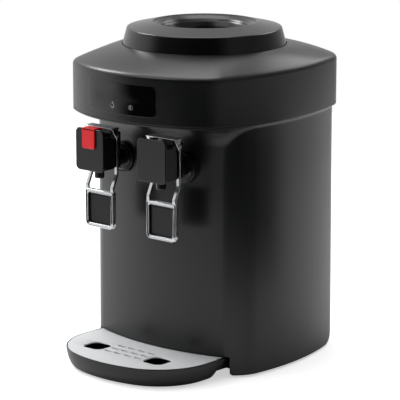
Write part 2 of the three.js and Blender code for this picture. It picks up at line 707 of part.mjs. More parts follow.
function feedProbe() {
  const bottomZ = lidTopZ - spoutDepth;
  const topZ = bowlFloorZ + probeHeight;
  const flangeZ = bowlFloorZ + seat;
  const bore = probeRadius - probeWall;
  const body = turned('z', [
    [bore, bottomZ], [probeRadius, bottomZ], [probeRadius, flangeZ], [probeFlange, flangeZ],
    [probeFlange, flangeZ + probeFlangeThickness], [probeRadius, flangeZ + probeFlangeThickness],
    [probeRadius, topZ - probeTip], [probeWall / 2, topZ], [0, topZ], [0, topZ - probeTip],
    [bore, topZ - probeTip],
  ], seatAxis, 18);
  const windowZ = flangeZ + 2 * probeFlangeThickness;
  const windows = Array.from({ length: probeWindows }, (_, i) => {
    const geometry = new THREE.BoxGeometry(2 * probeWindowHalf, probeRadius + overrun, probeWindowHeight);
    geometry.translate(0, (probeRadius + overrun) / 2, windowZ + probeWindowHeight / 2);
    geometry.rotateZ((2 * Math.PI * i) / probeWindows);
    return solid(geometry.translate(0, seatY, 0));
  });
  return cut(body, ...windows);
}
addPart('feed_probe', feedProbe(), naturalPlastic);

// Drip tray: a basin before the body and an open-bottomed tongue that runs into the bay
const trayFrontBow = 188;
const trayCorner = 80.3;
const trayRim = 1.8;
const trayLedge = 2.6;
const trayWall = 2.2;
const trayFloor = 2.2;
const trayTaper = 10;
const trayTaperShares = [[0, 1], [0.06, 0.72], [0.2, 0.42], [0.5, 0.16], [1, 0]];
const basinLength = 112.3;
const basinRearCorner = 6;
const trayTongueLength = 39.7;
const tongueBottomZ = 10;
const grilleThickness = 1.5;
const deckThickness = 2;
const trayFrontY = bodyFrontY - trayReach;
const basinRearY = trayFrontY + basinLength;
const trayRearY = basinRearY + trayTongueLength;
const rebateZ = trayTopZ - grilleThickness - seat;

// The tray's outline moved inwards, from the rear right corner round the front
function trayOutline(inset, rearY, z, rearCorner = 0) {
  const front = { centre: new THREE.Vector2(0, trayFrontY + trayFrontBow), radius: trayFrontBow };
  const cornerX = trayHalfWidth - trayCorner;
  const cornerY = front.centre.y - Math.sqrt((trayFrontBow - trayCorner) ** 2 - cornerX ** 2);
  const turn = Math.atan2(cornerY - front.centre.y, cornerX);
  const arc = (x, y, radius, from, to, steps) => Array.from({ length: steps + 1 }, (_, k) => {
    const angle = from + ((to - from) * k) / steps;
    return [x + radius * Math.cos(angle), y + radius * Math.sin(angle)];
  });
  const rearRadius = Math.max(rearCorner, mergeDistance);
  const side = trayHalfWidth - inset;
  const right = [
    ...arc(0, front.centre.y, trayFrontBow - inset, -Math.PI / 2, turn, 5),
    ...arc(cornerX, cornerY, trayCorner - inset, turn, 0, 6).slice(1),
    ...(rearCorner > 0 ?
      arc(side - rearRadius, rearY - rearRadius, rearRadius, 0, Math.PI / 2, 2) : [[side, rearY]]),
  ];
  const left = right.slice(1).reverse().map(([x, y]) => [-x, y]);
  return [...right, ...left].map(([x, y]) => at(x, y, z));
}

// The region in front of the body at the tray's top, which the grille fills
function grilleRegion(inset, gap, z0, z1) {
  const plate = prism('z', flat(trayOutline(inset, trayRearY - wall, 0)), z0, z1);
  const behind = planShape(bodyPlan, gap - bodyDraft - liftClearance);
  return plate.subtract(prism('z', behind, z0 - overrun, z1 + overrun));
}

function dripTray() {
  const depth = trayTopZ - trayClearance;
  const taper = (shares, inset, floorZ) => shares.map(([upShare, inShare]) =>
    trayOutline(inset + trayTaper * inShare, basinRearY - inset - (trayTaper / 2) * inShare,
      upShare === 0 ? floorZ : trayClearance + depth * upShare, basinRearCorner));
  const basin = loft(taper(trayTaperShares, 0, trayClearance));
  const tongue = box(-trayHalfWidth, trayHalfWidth, basinRearY - basinRearCorner, trayRearY,
    tongueBottomZ, trayTopZ);
  const hollow = loft(taper(trayTaperShares, trayRim + trayLedge, trayClearance + trayFloor));
  const deckZ = rebateZ - deckThickness;
  const lowHollow = hollow.intersect(box(-bodyWidth, bodyWidth, -bodyDepth, bodyDepth, 0, deckZ));
  const mouth = hollow.intersect(grilleRegion(trayRim + trayLedge, -trayLedge, deckZ - overrun, trayTopZ));
  const rebate = grilleRegion(trayRim, seat, rebateZ, trayTopZ + overrun);
  const underside = box(trayWall - trayHalfWidth, trayHalfWidth - trayWall, basinRearY,
    trayRearY - trayWall,
    0, deckZ);
  return cut(join(basin, tongue), lowHollow, mouth, rebate, underside);
}

const drainHoleX = 52.5;
const drainHoleBack = 52.3; // behind the tray's front
const drainHoleHalfWidth = 13.5;
const drainHoleHalfDepth = 13;
const drainHoleCorner = 8;
const drainRollWidth = 2;
const drainRollDepth = 1.2;
const drainLipDepth = 2.6;
const drainLipWall = 1.2;
const grilleSlotRows = 3;
const grilleSlotColumns = 4;
const grilleRowPitch = 13.3;
const grilleColumnPitch = 17.3;
const grilleSlotLength = 11;
const grilleSlotWidth = 4.4;
const grilleSlotBack = 43.5; // the front row behind the tray's front

function dripGrille() {
  const bottomZ = trayTopZ - grilleThickness;
  const plate = grilleRegion(trayRim + seat, 0, bottomZ, trayTopZ);
  const holeY = trayFrontY + drainHoleBack;
  const squareRing = (x, grow, z) => {
    const shape = roundedRectangle(x - drainHoleHalfWidth - grow, x + drainHoleHalfWidth + grow,
      holeY - drainHoleHalfDepth - grow, holeY + drainHoleHalfDepth + grow, drainHoleCorner + grow);
    return shape.extractPoints(4).shape.map((point) => at(point.x, point.y, z));
  };
  const holes = [-drainHoleX, drainHoleX].map((x) => ({
    lip: loft([squareRing(x, drainLipWall, bottomZ - drainLipDepth),
      squareRing(x, drainLipWall, trayTopZ - seat)]),
    bore: loft([squareRing(x, 0, bottomZ - drainLipDepth - overrun),
      squareRing(x, 0, trayTopZ - drainRollDepth),
      squareRing(x, drainRollWidth / 3, trayTopZ - drainRollDepth / 3),
      squareRing(x, drainRollWidth, trayTopZ), squareRing(x, drainRollWidth, trayTopZ + overrun)]),
  }));
  const slots = Array.from({ length: grilleSlotRows * grilleSlotColumns }, (_, i) => {
    const row = Math.floor(i / grilleSlotColumns);
    const x = ((i % grilleSlotColumns) - (grilleSlotColumns - 1) / 2) * grilleColumnPitch;
    const y = trayFrontY + grilleSlotBack + row * grilleRowPitch;
    return slot('z', x - grilleSlotLength / 2, x + grilleSlotLength / 2, y - grilleSlotWidth / 2,
      y + grilleSlotWidth / 2, bottomZ - overrun, trayTopZ + overrun);
  });
  return cut(join(plate, ...holes.map(({ lip }) => lip)), ...holes.map(({ bore }) => bore), ...slots);
}
addPart('drip_tray', dripTray(), satinBlack);
addPart('drip_grille', dripGrille(), brushedSteel);

// Base plate, its feet and the ledge that carries the tray's tongue
const baseThickness = 3;
const ledgeOverlap = 6; // the ledge reaches this far under the tray's tongue
const ledgeFrontY = trayRearY - ledgeOverlap;
const ledgeDepth = 20;
const ledgeSideGap = 4.4; // shorter than the tray at each end
const ledgeHalfWidth = trayHalfWidth - ledgeSideGap;
const ledgeStep = 4; // the ledge juts out this far ahead of the plate
const footRadius = 9.5;
const footStemRadius = 3.5;
const footStemHeight = 2.4;
const footSideInset = 37; // from the body's sides
const footPlaceX = bodyWidth / 2 - footSideInset;
const frontFootBack = 70; // behind the body's front
const rearFootAhead = 34; // ahead of the body's back
const frontFootY = bodyFrontY + frontFootBack;
const rearFootY = bodyBackY - rearFootAhead;
const baseTopZ = footHeight + baseThickness;

const footPlaces = {
  foot_front_left: at(-footPlaceX, frontFootY, 0),
  foot_front_right: at(footPlaceX, frontFootY, 0),
  foot_rear_left: at(-footPlaceX, rearFootY, 0),
  foot_rear_right: at(footPlaceX, rearFootY, 0),
};

function basePlate() {
  const plate = prism('z', planShape(bodyPlan, wall + seat - bodyDraft), footHeight, baseTopZ);
  const front = box(-bodyWidth, bodyWidth, -bodyDepth, ledgeFrontY + ledgeStep, 0, baseTopZ + overrun);
  const ledge = box(-ledgeHalfWidth, ledgeHalfWidth, ledgeFrontY, ledgeFrontY + ledgeDepth, footHeight,
    tongueBottomZ - seat);
  const stems = Object.values(footPlaces).map((place) =>
    rod('z', footStemRadius + seat, 0, baseTopZ + overrun, place, 16));
  return cut(join(plate.subtract(front), ledge), ...stems);
}
addPart('base_plate', basePlate(), mattBlack);

function foot(place) {
  const chamfer = seat;
  return turned('z', [
    [0, 0], [footRadius - chamfer, 0], [footRadius, chamfer], [footRadius, footHeight - seat],
    [footStemRadius, footHeight - seat], [footStemRadius, footHeight + footStemHeight],
    [0, footHeight + footStemHeight],
  ], place, 16);
}
Object.entries(footPlaces).forEach(([name, place]) => addPart(name, foot(place), rubber));

// Sheet-steel frame: two legs, a low shelf for the hot tank and a high one for the cold tank
const sheet = 1.5;
const frameSideInset = 35; // from the body's sides
const frameHalfWidth = bodyWidth / 2 - frameSideInset;
const legFrontBack = 66; // behind the body's front
const legRearAhead = 90; // ahead of the body's back
const legFrontY = bodyFrontY + legFrontBack;
const legRearY = bodyBackY - legRearAhead;
const lowShelfZ = 40;
const highShelfZ = 224.7;
const lowShelfFront = 10; // ahead of the legs
const highShelfFront = 25;
const portRadius = 5;
const portClearance = 3;
const coldPortX = 36;

function innerFrame() {
  const legs = [-frameHalfWidth, frameHalfWidth - sheet].map((x) =>
    box(x, x + sheet, legFrontY, legRearY, baseTopZ + seat, highShelfZ));
  const low = box(-frameHalfWidth, frameHalfWidth, legFrontY - lowShelfFront, legRearY, lowShelfZ - sheet,
    lowShelfZ);
  const high = box(-frameHalfWidth, frameHalfWidth, legFrontY - highShelfFront, legRearY,
    highShelfZ - sheet,
    highShelfZ);
  const ports = [0, coldPortX].map((x) =>
    rod('z', portRadius + portClearance, highShelfZ - sheet - overrun, highShelfZ + overrun,
      at(x, seatY, 0), 16));
  return cut(join(...legs, low, high), ...ports);
}
addPart('inner_frame', innerFrame(), zincSteel);

// Cold tank with its foam jacket, lid and separator
const tankWall = 1.5;
const tankRim = 4;
const foamThickness = 15;
const shankLength = 22.2; // behind the casing's tap pad
const pipeRun = 10.5; // from a tap's shank to where its pipe turns down
const pipeLaneFront = 6; // from the middle of that pipe back to the foam
const foamFloor = 10;
const portLength = 9.7; // below the frame's high shelf
const foamBottomZ = highShelfZ + seat;
const tankBottomZ = foamBottomZ + foamFloor + seat;
const shankEndY = tapPadY + shankLength;
const laneY = shankEndY + pipeRun;
const foamRadius = Math.hypot(tapSpacing / 2, seatY - laneY - pipeLaneFront);
const tankRadius = foamRadius - foamThickness - seat;
const portBottomZ = highShelfZ - portLength;
const blockHalf = 22;
const blockZ = fanZ;
const separatorDepth = 45; // below the tank's rim
const separatorZ = tankTopZ - separatorDepth;
const separatorThickness = 2.5;
const standpipeRadius = 7;

function coldTank() {
  const cup = turned('z', [
    [0, tankBottomZ], [tankRadius, tankBottomZ], [tankRadius, tankTopZ - tankWall],
    [tankRadius + tankRim, tankTopZ - tankWall], [tankRadius + tankRim, tankTopZ],
    [tankRadius - tankWall, tankTopZ], [tankRadius - tankWall, tankBottomZ + tankWall],
    [0, tankBottomZ + tankWall],
  ], seatAxis, 32);
  const ports = [0, coldPortX].map((x) =>
    rod('z', portRadius, portBottomZ, tankBottomZ + tankWall / 2, at(x, seatY, 0), 12));
  const bores = [0, coldPortX].map((x) =>
    rod('z', portRadius - tankWall, portBottomZ - overrun, tankBottomZ + tankWall + overrun,
      at(x, seatY, 0), 12));
  return cut(join(cup, ...ports), ...bores);
}
addPart('cold_tank', coldTank(), brushedSteel);

function tankFoam() {
  const topZ = tankTopZ - tankWall - seat;
  const cup = turned('z', [
    [0, foamBottomZ], [foamRadius, foamBottomZ], [foamRadius, topZ], [tankRadius + seat, topZ],
    [tankRadius + seat, foamBottomZ + foamFloor], [0, foamBottomZ + foamFloor],
  ], seatAxis, 32);
  const ports = [0, coldPortX].map((x) =>
    rod('z', portRadius + seat, foamBottomZ - overrun, foamBottomZ + foamFloor + overrun,
      at(x, seatY, 0), 12));
  const window = box(-blockHalf - seat, blockHalf + seat, seatY, bodyBackY, blockZ - blockHalf - seat,
    blockZ + blockHalf + seat);
  return cut(cup, ...ports, window);
}
addPart('cold_tank_foam', tankFoam(), foam);

const lidSkirt = 8;
const lidHoleRadius = probeRadius + seat;

function tankLid() {
  const underZ = tankTopZ + seat;
  const skirtRadius = tankRadius - tankWall - seat;
  return turned('z', [
    [lidHoleRadius, lidTopZ - lidThickness], [skirtRadius - tankWall, underZ],
    [skirtRadius - tankWall, underZ - lidSkirt],
    [skirtRadius, underZ - lidSkirt], [skirtRadius, underZ], [tankRadius + tankRim, underZ],
    [tankRadius + tankRim, lidTopZ], [lidHoleRadius, lidTopZ],
  ], seatAxis, 32);
}
addPart('cold_tank_lid', tankLid(), naturalPlastic);

function tankSeparator() {
  const footZ = tankBottomZ + tankWall + seat;
  const edge = tankRadius - tankWall - seat;
  return turned('z', [
    [standpipeRadius - tankWall, footZ], [standpipeRadius, footZ], [standpipeRadius, separatorZ],
    [edge, separatorZ], [edge, separatorZ + separatorThickness],
    [standpipeRadius - tankWall, separatorZ + separatorThickness],
  ], seatAxis, 32);
}
addPart('tank_separator', tankSeparator(), naturalPlastic);

// Cooling train from the tank's back wall to the rear panel
const moduleHalf = 20;
const moduleThickness = 4;
const sinkHalf = 42;
const sinkBase = 5;
const finThickness = 1.4;
const finCount = 11;
const fanDepth = 25;
const tankRearY = seatY + tankRadius;
const blockRearY = seatY + foamRadius + seat;
const moduleFrontY = blockRearY + seat;
const sinkFrontY = moduleFrontY + moduleThickness + seat;
const fanRearY = panelInnerY - (backBow - Math.sqrt(backBow ** 2 - (fanSize / 2) ** 2)) - seat;
const fanFrontY = fanRearY - fanDepth;

function coldBlock() {
  const block = box(-blockHalf, blockHalf, tankRearY - overrun, blockRearY, blockZ - blockHalf,
    blockZ + blockHalf);
  const tank = rod('z', tankRadius + seat, tankBottomZ, tankTopZ, seatAxis, 32);
  return cut(block, tank);
}
addPart('cold_block', coldBlock(), aluminium);
addPart('cooling_module', box(-moduleHalf, moduleHalf, moduleFrontY, moduleFrontY + moduleThickness,
  blockZ - moduleHalf, blockZ + moduleHalf), ceramic);

function heatSink() {
  const base = box(-sinkHalf, sinkHalf, sinkFrontY, sinkFrontY + sinkBase, fanZ - sinkHalf,
    fanZ + sinkHalf);
  const fins = Array.from({ length: finCount }, (_, i) => {
    const x = -sinkHalf + ((2 * sinkHalf - finThickness) * i) / (finCount - 1);
    return box(x, x + finThickness, sinkFrontY + sinkBase / 2, fanFrontY - seat, fanZ - sinkHalf,
      fanZ + sinkHalf);
  });
  return join(base, ...fins);
}
addPart('heat_sink', heatSink(), aluminium);

const fanCorner = 6;
const motorRadius = 17;
const motorPlate = 3;
const strutHalf = 2;
const spindleRadius = 2;
const rotorDepth = 18;
const rotorSkin = 2;
const bladeCount = 7;
const bladeThickness = 1.6;
const bladeGap = 1.5;
const bladeSweep = 0.5;
const rotorRearY = fanRearY - motorPlate - seat;
const fanAxis = at(0, 0, fanZ);

function fanFrame() {
  const square = prism('y', roundedRectangle(-fanSize / 2, fanSize / 2, fanZ - fanSize / 2,
    fanZ + fanSize / 2,
    fanCorner), fanFrontY, fanRearY, 2);
  const bore = rod('y', fanBore, fanFrontY - overrun, fanRearY + overrun, fanAxis, 32);
  const plate = rod('y', motorRadius, fanRearY - motorPlate, fanRearY, fanAxis);
  const across = box(-fanBore - overrun, fanBore + overrun, fanRearY - motorPlate, fanRearY,
    fanZ - strutHalf,
    fanZ + strutHalf);
  const upright = box(-strutHalf, strutHalf, fanRearY - motorPlate, fanRearY, fanZ - fanBore - overrun,
    fanZ + fanBore + overrun);
  const spindle = rod('y', spindleRadius, rotorRearY - rotorDepth / 2, fanRearY - motorPlate / 2, fanAxis,
    12);
  return join(cut(square, bore), plate, across, upright, spindle);
}
addPart('fan_frame', fanFrame(), mattBlack);

// Each blade is a plate that is pitched and swept between the hub and its tip
function fanRotor() {
  const frontY = rotorRearY - rotorDepth;
  const hub = turned('y', [
    [spindleRadius + seat, rotorRearY], [motorRadius, rotorRearY], [motorRadius, frontY], [0, frontY],
    [0, frontY + rotorSkin], [spindleRadius + seat, frontY + rotorSkin],
  ], fanAxis);
  const bladeStations = [motorRadius - rotorSkin, (motorRadius + fanBore) / 2, fanBore - bladeGap];
  const blades = Array.from({ length: bladeCount }, (_, i) => {
    const start = (2 * Math.PI * i) / bladeCount;
    const rings = bladeStations.map((radius) => {
      const corners = [[0, 0], [1, 0], [1, 1], [0, 1]];
      return corners.map(([alongShare, throughShare]) => {
        const angle = start + bladeSweep * alongShare + (bladeThickness * throughShare) / radius;
        const y = frontY + rotorSkin + (rotorDepth - 2 * rotorSkin) * alongShare;
        return at(radius * Math.cos(angle), y, fanZ + radius * Math.sin(angle));
      });
    });
    return loft(rings);
  });
  return join(hub, ...blades);
}
addPart('fan_rotor', fanRotor(), mattBlack);

// Hot tank on the low shelf, with its heater band, jacket and thermostat
const hotTankRadius = 45;
const hotTankHeight = 132;
const hotTankRound = 6;
const hotPortHeight = 8;
const hotOutletX = -34;
const bandThickness = 2.5;
const bandHeight = 32;
const bandRise = 34; // above the tank's bottom
const jacketThickness = 12;
const thermostatRadius = 8;
const thermostatHeight = 6;
const thermostatBack = 26;
const hotTankBottomZ = lowShelfZ + seat;
const hotTankTopZ = hotTankBottomZ + hotTankHeight;
const hotTankAxis = at(hotTankX, seatY, 0);
const drainPortEnd = hotTankRadius + hotPortHeight;

function hotTank() {
  const drum = (radius, bottomZ, topZ) => turned('z', [
    [0, bottomZ], [radius - hotTankRound, bottomZ], [radius, bottomZ + hotTankRound],
    [radius, topZ - hotTankRound],
    [radius - hotTankRound, topZ], [0, topZ],
  ], hotTankAxis, 24);
  const ports = (radius, bottomZ, topZ) => [0, hotOutletX].map((x) =>
    rod('z', radius, bottomZ, topZ, at(x, seatY, 0), 10));
  const drain = (radius, endY) => rod('y', radius, seatY, endY, at(hotTankX, 0, drainZ), 10);
  const portTopZ = hotTankTopZ + hotPortHeight;
  const portBore = portRadius - tankWall;
  const outside = join(drum(hotTankRadius, hotTankBottomZ, hotTankTopZ),
    ...ports(portRadius, hotTankTopZ - hotTankRound, portTopZ), drain(portRadius, seatY + drainPortEnd));
  return cut(outside, drum(hotTankRadius - tankWall, hotTankBottomZ + tankWall, hotTankTopZ - tankWall),
    ...ports(portBore, hotTankTopZ - hotTankRound, portTopZ + overrun),
    drain(portBore, seatY + drainPortEnd + overrun));
}
addPart('hot_tank', hotTank(), brushedSteel);

const bandBottomZ = hotTankBottomZ + bandRise;
const bandTopZ = bandBottomZ + bandHeight;
addPart('heater_band', sleeve('z', hotTankRadius + seat + bandThickness, hotTankRadius + seat,
  bandBottomZ, bandTopZ, hotTankAxis, 24), zincSteel);
addPart('hot_tank_jacket', sleeve('z', hotTankRadius + seat + jacketThickness, hotTankRadius + seat,
  bandTopZ + seat, hotTankTopZ - hotTankRound, hotTankAxis, 24), foam);
addPart('hot_thermostat', rod('z', thermostatRadius, hotTankTopZ + seat, hotTankTopZ + thermostatHeight,
  at(hotTankX, seatY + thermostatBack, 0), 16), mattBlack);

// Control board on the right leg of the frame
const controlInset = 10; // from the ends of the leg
const controlFrontY = legFrontY + controlInset;
const controlLength = legRearY - controlInset - controlFrontY;
const controlBottomZ = 66;
const controlHeight = 92;
const controlStandoff = 5;
const controlThickness = 1.6;
const standoffRadius = 2.5;
const standoffInset = 6;
const transformerHalf = 17;
const transformerHeight = 24;
const relayHalf = 8;
const relayHeight = 15;

function controlBoard() {
  const legFace = frameHalfWidth - sheet - seat;
  const boardRight = legFace - controlStandoff;
  const boardLeft = boardRight - controlThickness;
  const topZ = controlBottomZ + controlHeight;
  const rearY = controlFrontY + controlLength;
  const board = box(boardLeft, boardRight, controlFrontY, rearY, controlBottomZ, topZ);
  const corners = [controlFrontY + standoffInset, rearY - standoffInset].flatMap((y) =>
    [controlBottomZ + standoffInset, topZ - standoffInset].map((z) => at(0, y, z)));
  const standoffs = corners.map((place) => rod('x', standoffRadius, boardLeft + controlThickness / 2,
    legFace, place, 8));
  const middleY = (controlFrontY + rearY) / 2;
  const middleZ = (controlBottomZ + topZ) / 2;
  const block = (y, z, half, height) => box(boardLeft - height, boardLeft + controlThickness / 2,
    y - half, y + half,
    z - half, z + half);
  const transformer = block(middleY, middleZ - transformerHalf, transformerHalf, transformerHeight);
  const relays = [-relayHalf - standoffInset, relayHalf + standoffInset].map((shift) =>
    block(middleY + shift, topZ - relayHalf - 2 * standoffInset, relayHalf, relayHeight));
  return join(board, ...standoffs, transformer, ...relays);
}
addPart('control_board', controlBoard(), circuitGreen);

// Water pipes between the tanks and the taps
const pipeRadius = 4.5;
const pipeBend = 7;
const pipeLaneDrop = 14; // below the cold tank's ports
const laneZ = portBottomZ - pipeLaneDrop;

function tapPipe(portX, portZ, tapX, leaves) {
  return bentBar([at(portX, seatY, portZ + leaves * seat), at(portX, seatY, laneZ), at(tapX, laneY, laneZ),
    at(tapX, laneY, tapZ), at(tapX, shankEndY + seat, tapZ)], pipeRadius, pipeBend);
}
addPart('hot_outlet_pipe', tapPipe(hotOutletX, hotTankTopZ + hotPortHeight, -tapSpacing / 2, 1),
  siliconeHose);
addPart('cold_outlet_pipe', tapPipe(coldPortX, portBottomZ, tapSpacing / 2, -1), siliconeHose);
addPart('hot_feed_pipe', rod('z', pipeRadius, hotTankTopZ + hotPortHeight + seat, portBottomZ - seat,
  at(0, seatY, 0), 12), siliconeHose);

// Drain: a pipe from the hot tank through the well's floor, closed by a screw cap
const drainPipeRadius = 5;
const drainNutRadius = 10;
const drainNutLength = 5;
const drainSpigot = 6;
const drainCapRadius = 11;
const drainCapLength = 9;
const drainCapFlutes = 8;
const fluteRadius = 1.6;

function drainPipe() {
  const nutY = wellFloorY - wall - seat;
  return turned('y', [
    [0, seatY + drainPortEnd + seat], [drainPipeRadius, seatY + drainPortEnd + seat],
    [drainPipeRadius, nutY - drainNutLength], [drainNutRadius, nutY - drainNutLength],
    [drainNutRadius, nutY],
    [drainRadius, nutY], [drainRadius, wellFloorY + drainSpigot], [0, wellFloorY + drainSpigot],
  ], at(hotTankX, 0, drainZ), 16);
}
addPart('drain_pipe', drainPipe(), naturalPlastic);

function drainPlug() {
  const frontY = wellFloorY + seat;
  const cap = turned('y', [
    [drainRadius + seat, frontY], [drainCapRadius, frontY], [drainCapRadius, frontY + drainCapLength],
    [0, frontY + drainCapLength],
    [0, frontY + drainSpigot], [drainRadius + seat, frontY + drainSpigot],
  ], at(hotTankX, 0, drainZ));
  const flutes = Array.from({ length: drainCapFlutes }, (_, i) => {
    const angle = (2 * Math.PI * (i + 0.5)) / drainCapFlutes;
    const place = at(hotTankX + drainCapRadius * Math.cos(angle), 0,
      drainZ + drainCapRadius * Math.sin(angle));
    return rod('y', fluteRadius, frontY + drainCapLength / 3, frontY + drainCapLength + overrun, place, 8);
  });
  return cut(cap, ...flutes);
}
addPart('drain_plug', drainPlug(), mattBlack);

// Mains inlet in the well, with three blades in its socket
const inletFlange = 3;
const inletFlangeThickness = 1.5;
const inletBodyDepth = 20;
const inletShell = 2;
const inletSocketDepth = 16;
const bladeHalfWidth = 1;
const bladeHalfHeight = 2.2;
const bladeSpread = 7;
const bladeLift = 2;

function powerInlet() {
  const faceY = wellFloorY + seat + inletFlangeThickness;
  const frontY = wellFloorY - inletBodyDepth;
  const plate = box(inletX - inletHalfWidth - inletFlange, inletX + inletHalfWidth + inletFlange,
    wellFloorY + seat,
    faceY, inletZ - inletHalfHeight - inletFlange, inletZ + inletHalfHeight + inletFlange);
  const body = box(inletX - inletHalfWidth, inletX + inletHalfWidth, frontY,
    faceY - inletFlangeThickness / 2,
    inletZ - inletHalfHeight, inletZ + inletHalfHeight);
  const socket = box(inletX - inletHalfWidth + inletShell, inletX + inletHalfWidth - inletShell,
    faceY - inletSocketDepth, faceY + overrun, inletZ - inletHalfHeight + inletShell,
    inletZ + inletHalfHeight - inletShell);
  const blades = [[-bladeSpread, 0], [0, bladeLift], [bladeSpread, 0]].map(([x, z]) =>
    box(inletX + x - bladeHalfWidth, inletX + x + bladeHalfWidth, faceY - inletSocketDepth - inletShell,
      faceY - inletShell, inletZ + z - bladeHalfHeight, inletZ + z + bladeHalfHeight));
  return join(cut(join(plate, body), socket), ...blades);
}
addPart('power_inlet', powerInlet(), mattBlack);

// Two rocker switches in one housing
const rockerSpread = 14.5;
const rockerHalfWidth = 7;
const rockerHalfHeight = 9.6;
const rockerFace = 4.5;
const rockerDip = 3;
const rockerHeel = 1;
const rockerKeel = 4;
const rockerTilt = 8; // degrees either side of level
const rockerSideGap = 0.4;
const rockerEndGap = 1;
const rockerPivotDepth = 3;
const pivotRadius = 1.2;
const pivotLength = 1.4;
const switchDepth = 14;
const switchFlange = 3;
const switchFlangeThickness = 1.5;
const switchFaceY = wellFloorY + seat + switchFlangeThickness;
const rockerPivot = at(0, switchFaceY - rockerPivotDepth, switchZ);

function switchHousing() {
  const plate = box(-switchHalfWidth - switchFlange, switchHalfWidth + switchFlange, wellFloorY + seat,
    switchFaceY,
    switchZ - switchHalfHeight - switchFlange, switchZ + switchHalfHeight + switchFlange);
  const body = box(-switchHalfWidth, switchHalfWidth, wellFloorY - switchDepth,
    wellFloorY + seat + switchFlangeThickness / 2,
    switchZ - switchHalfHeight, switchZ + switchHalfHeight);
  const bays = [-rockerSpread, rockerSpread].map((x) =>
    box(x - rockerHalfWidth - rockerSideGap, x + rockerHalfWidth + rockerSideGap,
      rockerPivot.y - rockerKeel - 2 * rockerEndGap, switchFaceY + overrun,
      switchZ - rockerHalfHeight - rockerEndGap, switchZ + rockerHalfHeight + rockerEndGap));
  const bearings = [-rockerSpread, rockerSpread].map((x) =>
    rod('x', pivotRadius + seat, x - rockerHalfWidth - pivotLength - seat,
      x + rockerHalfWidth + pivotLength + seat,
      rockerPivot, 10));
  return cut(join(plate, body), ...bays, ...bearings);
}
addPart('switch_housing', switchHousing(), glossBlack);

// A rocker is dished across its face and rests with its lower half pressed in
function rocker(x) {
  const tilt = THREE.MathUtils.degToRad(-rockerTilt);
  const profile = [
    [rockerFace, -rockerHalfHeight], [rockerDip, 0], [rockerFace, rockerHalfHeight],
    [-rockerHeel, rockerHalfHeight],
    [-rockerKeel, 0], [-rockerHeel, -rockerHalfHeight],
  ].map(([outward, along]) => [
    rockerPivot.y + outward * Math.cos(tilt) - along * Math.sin(tilt),
    rockerPivot.z + outward * Math.sin(tilt) + along * Math.cos(tilt),
  ]);
  const key = prism('x', polygon(profile), x - rockerHalfWidth, x + rockerHalfWidth);
  const pivot = rod('x', pivotRadius, x - rockerHalfWidth - pivotLength, x + rockerHalfWidth + pivotLength,
    rockerPivot, 10);
  return join(key, pivot);
}
addPart('heating_switch', rocker(-rockerSpread), redPlastic);
addPart('cooling_switch', rocker(rockerSpread), mattBlack);

// Taps: each is drawn about x = 0 and stands at its own place across the front
const tapFaceWidth = 48.5;
const tapFaceHeight = 54.8;
const tapFaceCorner = 6.5;
const tapFaceThickness = 3;
const tapFaceDrop = 10; // face bottom below the tap's axis
const tapBlockWidth = 47.8;
const tapBlockLength = 21.9; // from the face to the back of the wide block
const tapBlockRise = 3;
const tapWallTop = 10.3; // the block's side walls end this far below the face's top
const tapSlopeDrop = 8;
const tapSlopeRun = 4;
const tapRearWidth = 40;
const tapRearLength = 16.8;
const tapRearTop = 6.3;
const tapWellHalfWidth = 18;
const tapWellFloor = 24.3; // below the face's top
const neckRadius = 10;
const washerRadius = 16.5;
const washerThickness = 2.2;
const washerBevel = 1.1;
const nutAcross = 13.5;
const nutThickness = 5;
const nozzleBack = 18.2;
const nozzleRadius = 6.4;
const nozzleBore = 4.2;
const nozzleSpigot = 5;
const nozzleSpigotLength = 6;
const nozzleDrop = 14;
const nozzleTaper = 1;
const stemRadius = 1.9;
const stemDepth = 14;
const plungerRadius = 3.4;
const plungerHead = 3;
const pinBack = 26.9; // lever pin behind the face
const pinRise = 35; // lever pin above the tap's axis
const pinRadius = 1.8;
const pinClearance = 0.2;
const pinHeadRadius = 2.8;
const pinHead = 1;
const tapFaceY = tapPadY - tapReach;
const tapFaceBackY = tapFaceY + tapFaceThickness;
const tapBlockRearY = tapFaceY + tapBlockLength;
const tapFaceBottomZ = tapZ - tapFaceDrop;
const tapFaceTopZ = tapFaceBottomZ + tapFaceHeight;
const tapBlockBottomZ = tapFaceBottomZ + tapBlockRise;
const tapWellZ = tapFaceTopZ - tapWellFloor;
const pinPlace = at(0, tapFaceY + pinBack, tapZ + pinRise);
const valvePlace = at(0, tapFaceY + nozzleBack, 0);
const washerFrontY = tapPadY - seat - washerThickness;

// Red safety lock over the hot tap's face
const lockWidth = 23;
const lockProud = 2.5;
const lockLength = 32.5;
const lockRise = 2.2; // above the face's top
const lockBridge = 3.2;
const lockReach = 12.9; // the bridge runs this far behind the face
const lockHookLength = 11.5;
const lockTravel = 3;
const lockBevel = 1.5;
const lockThickness = lockProud - seat;

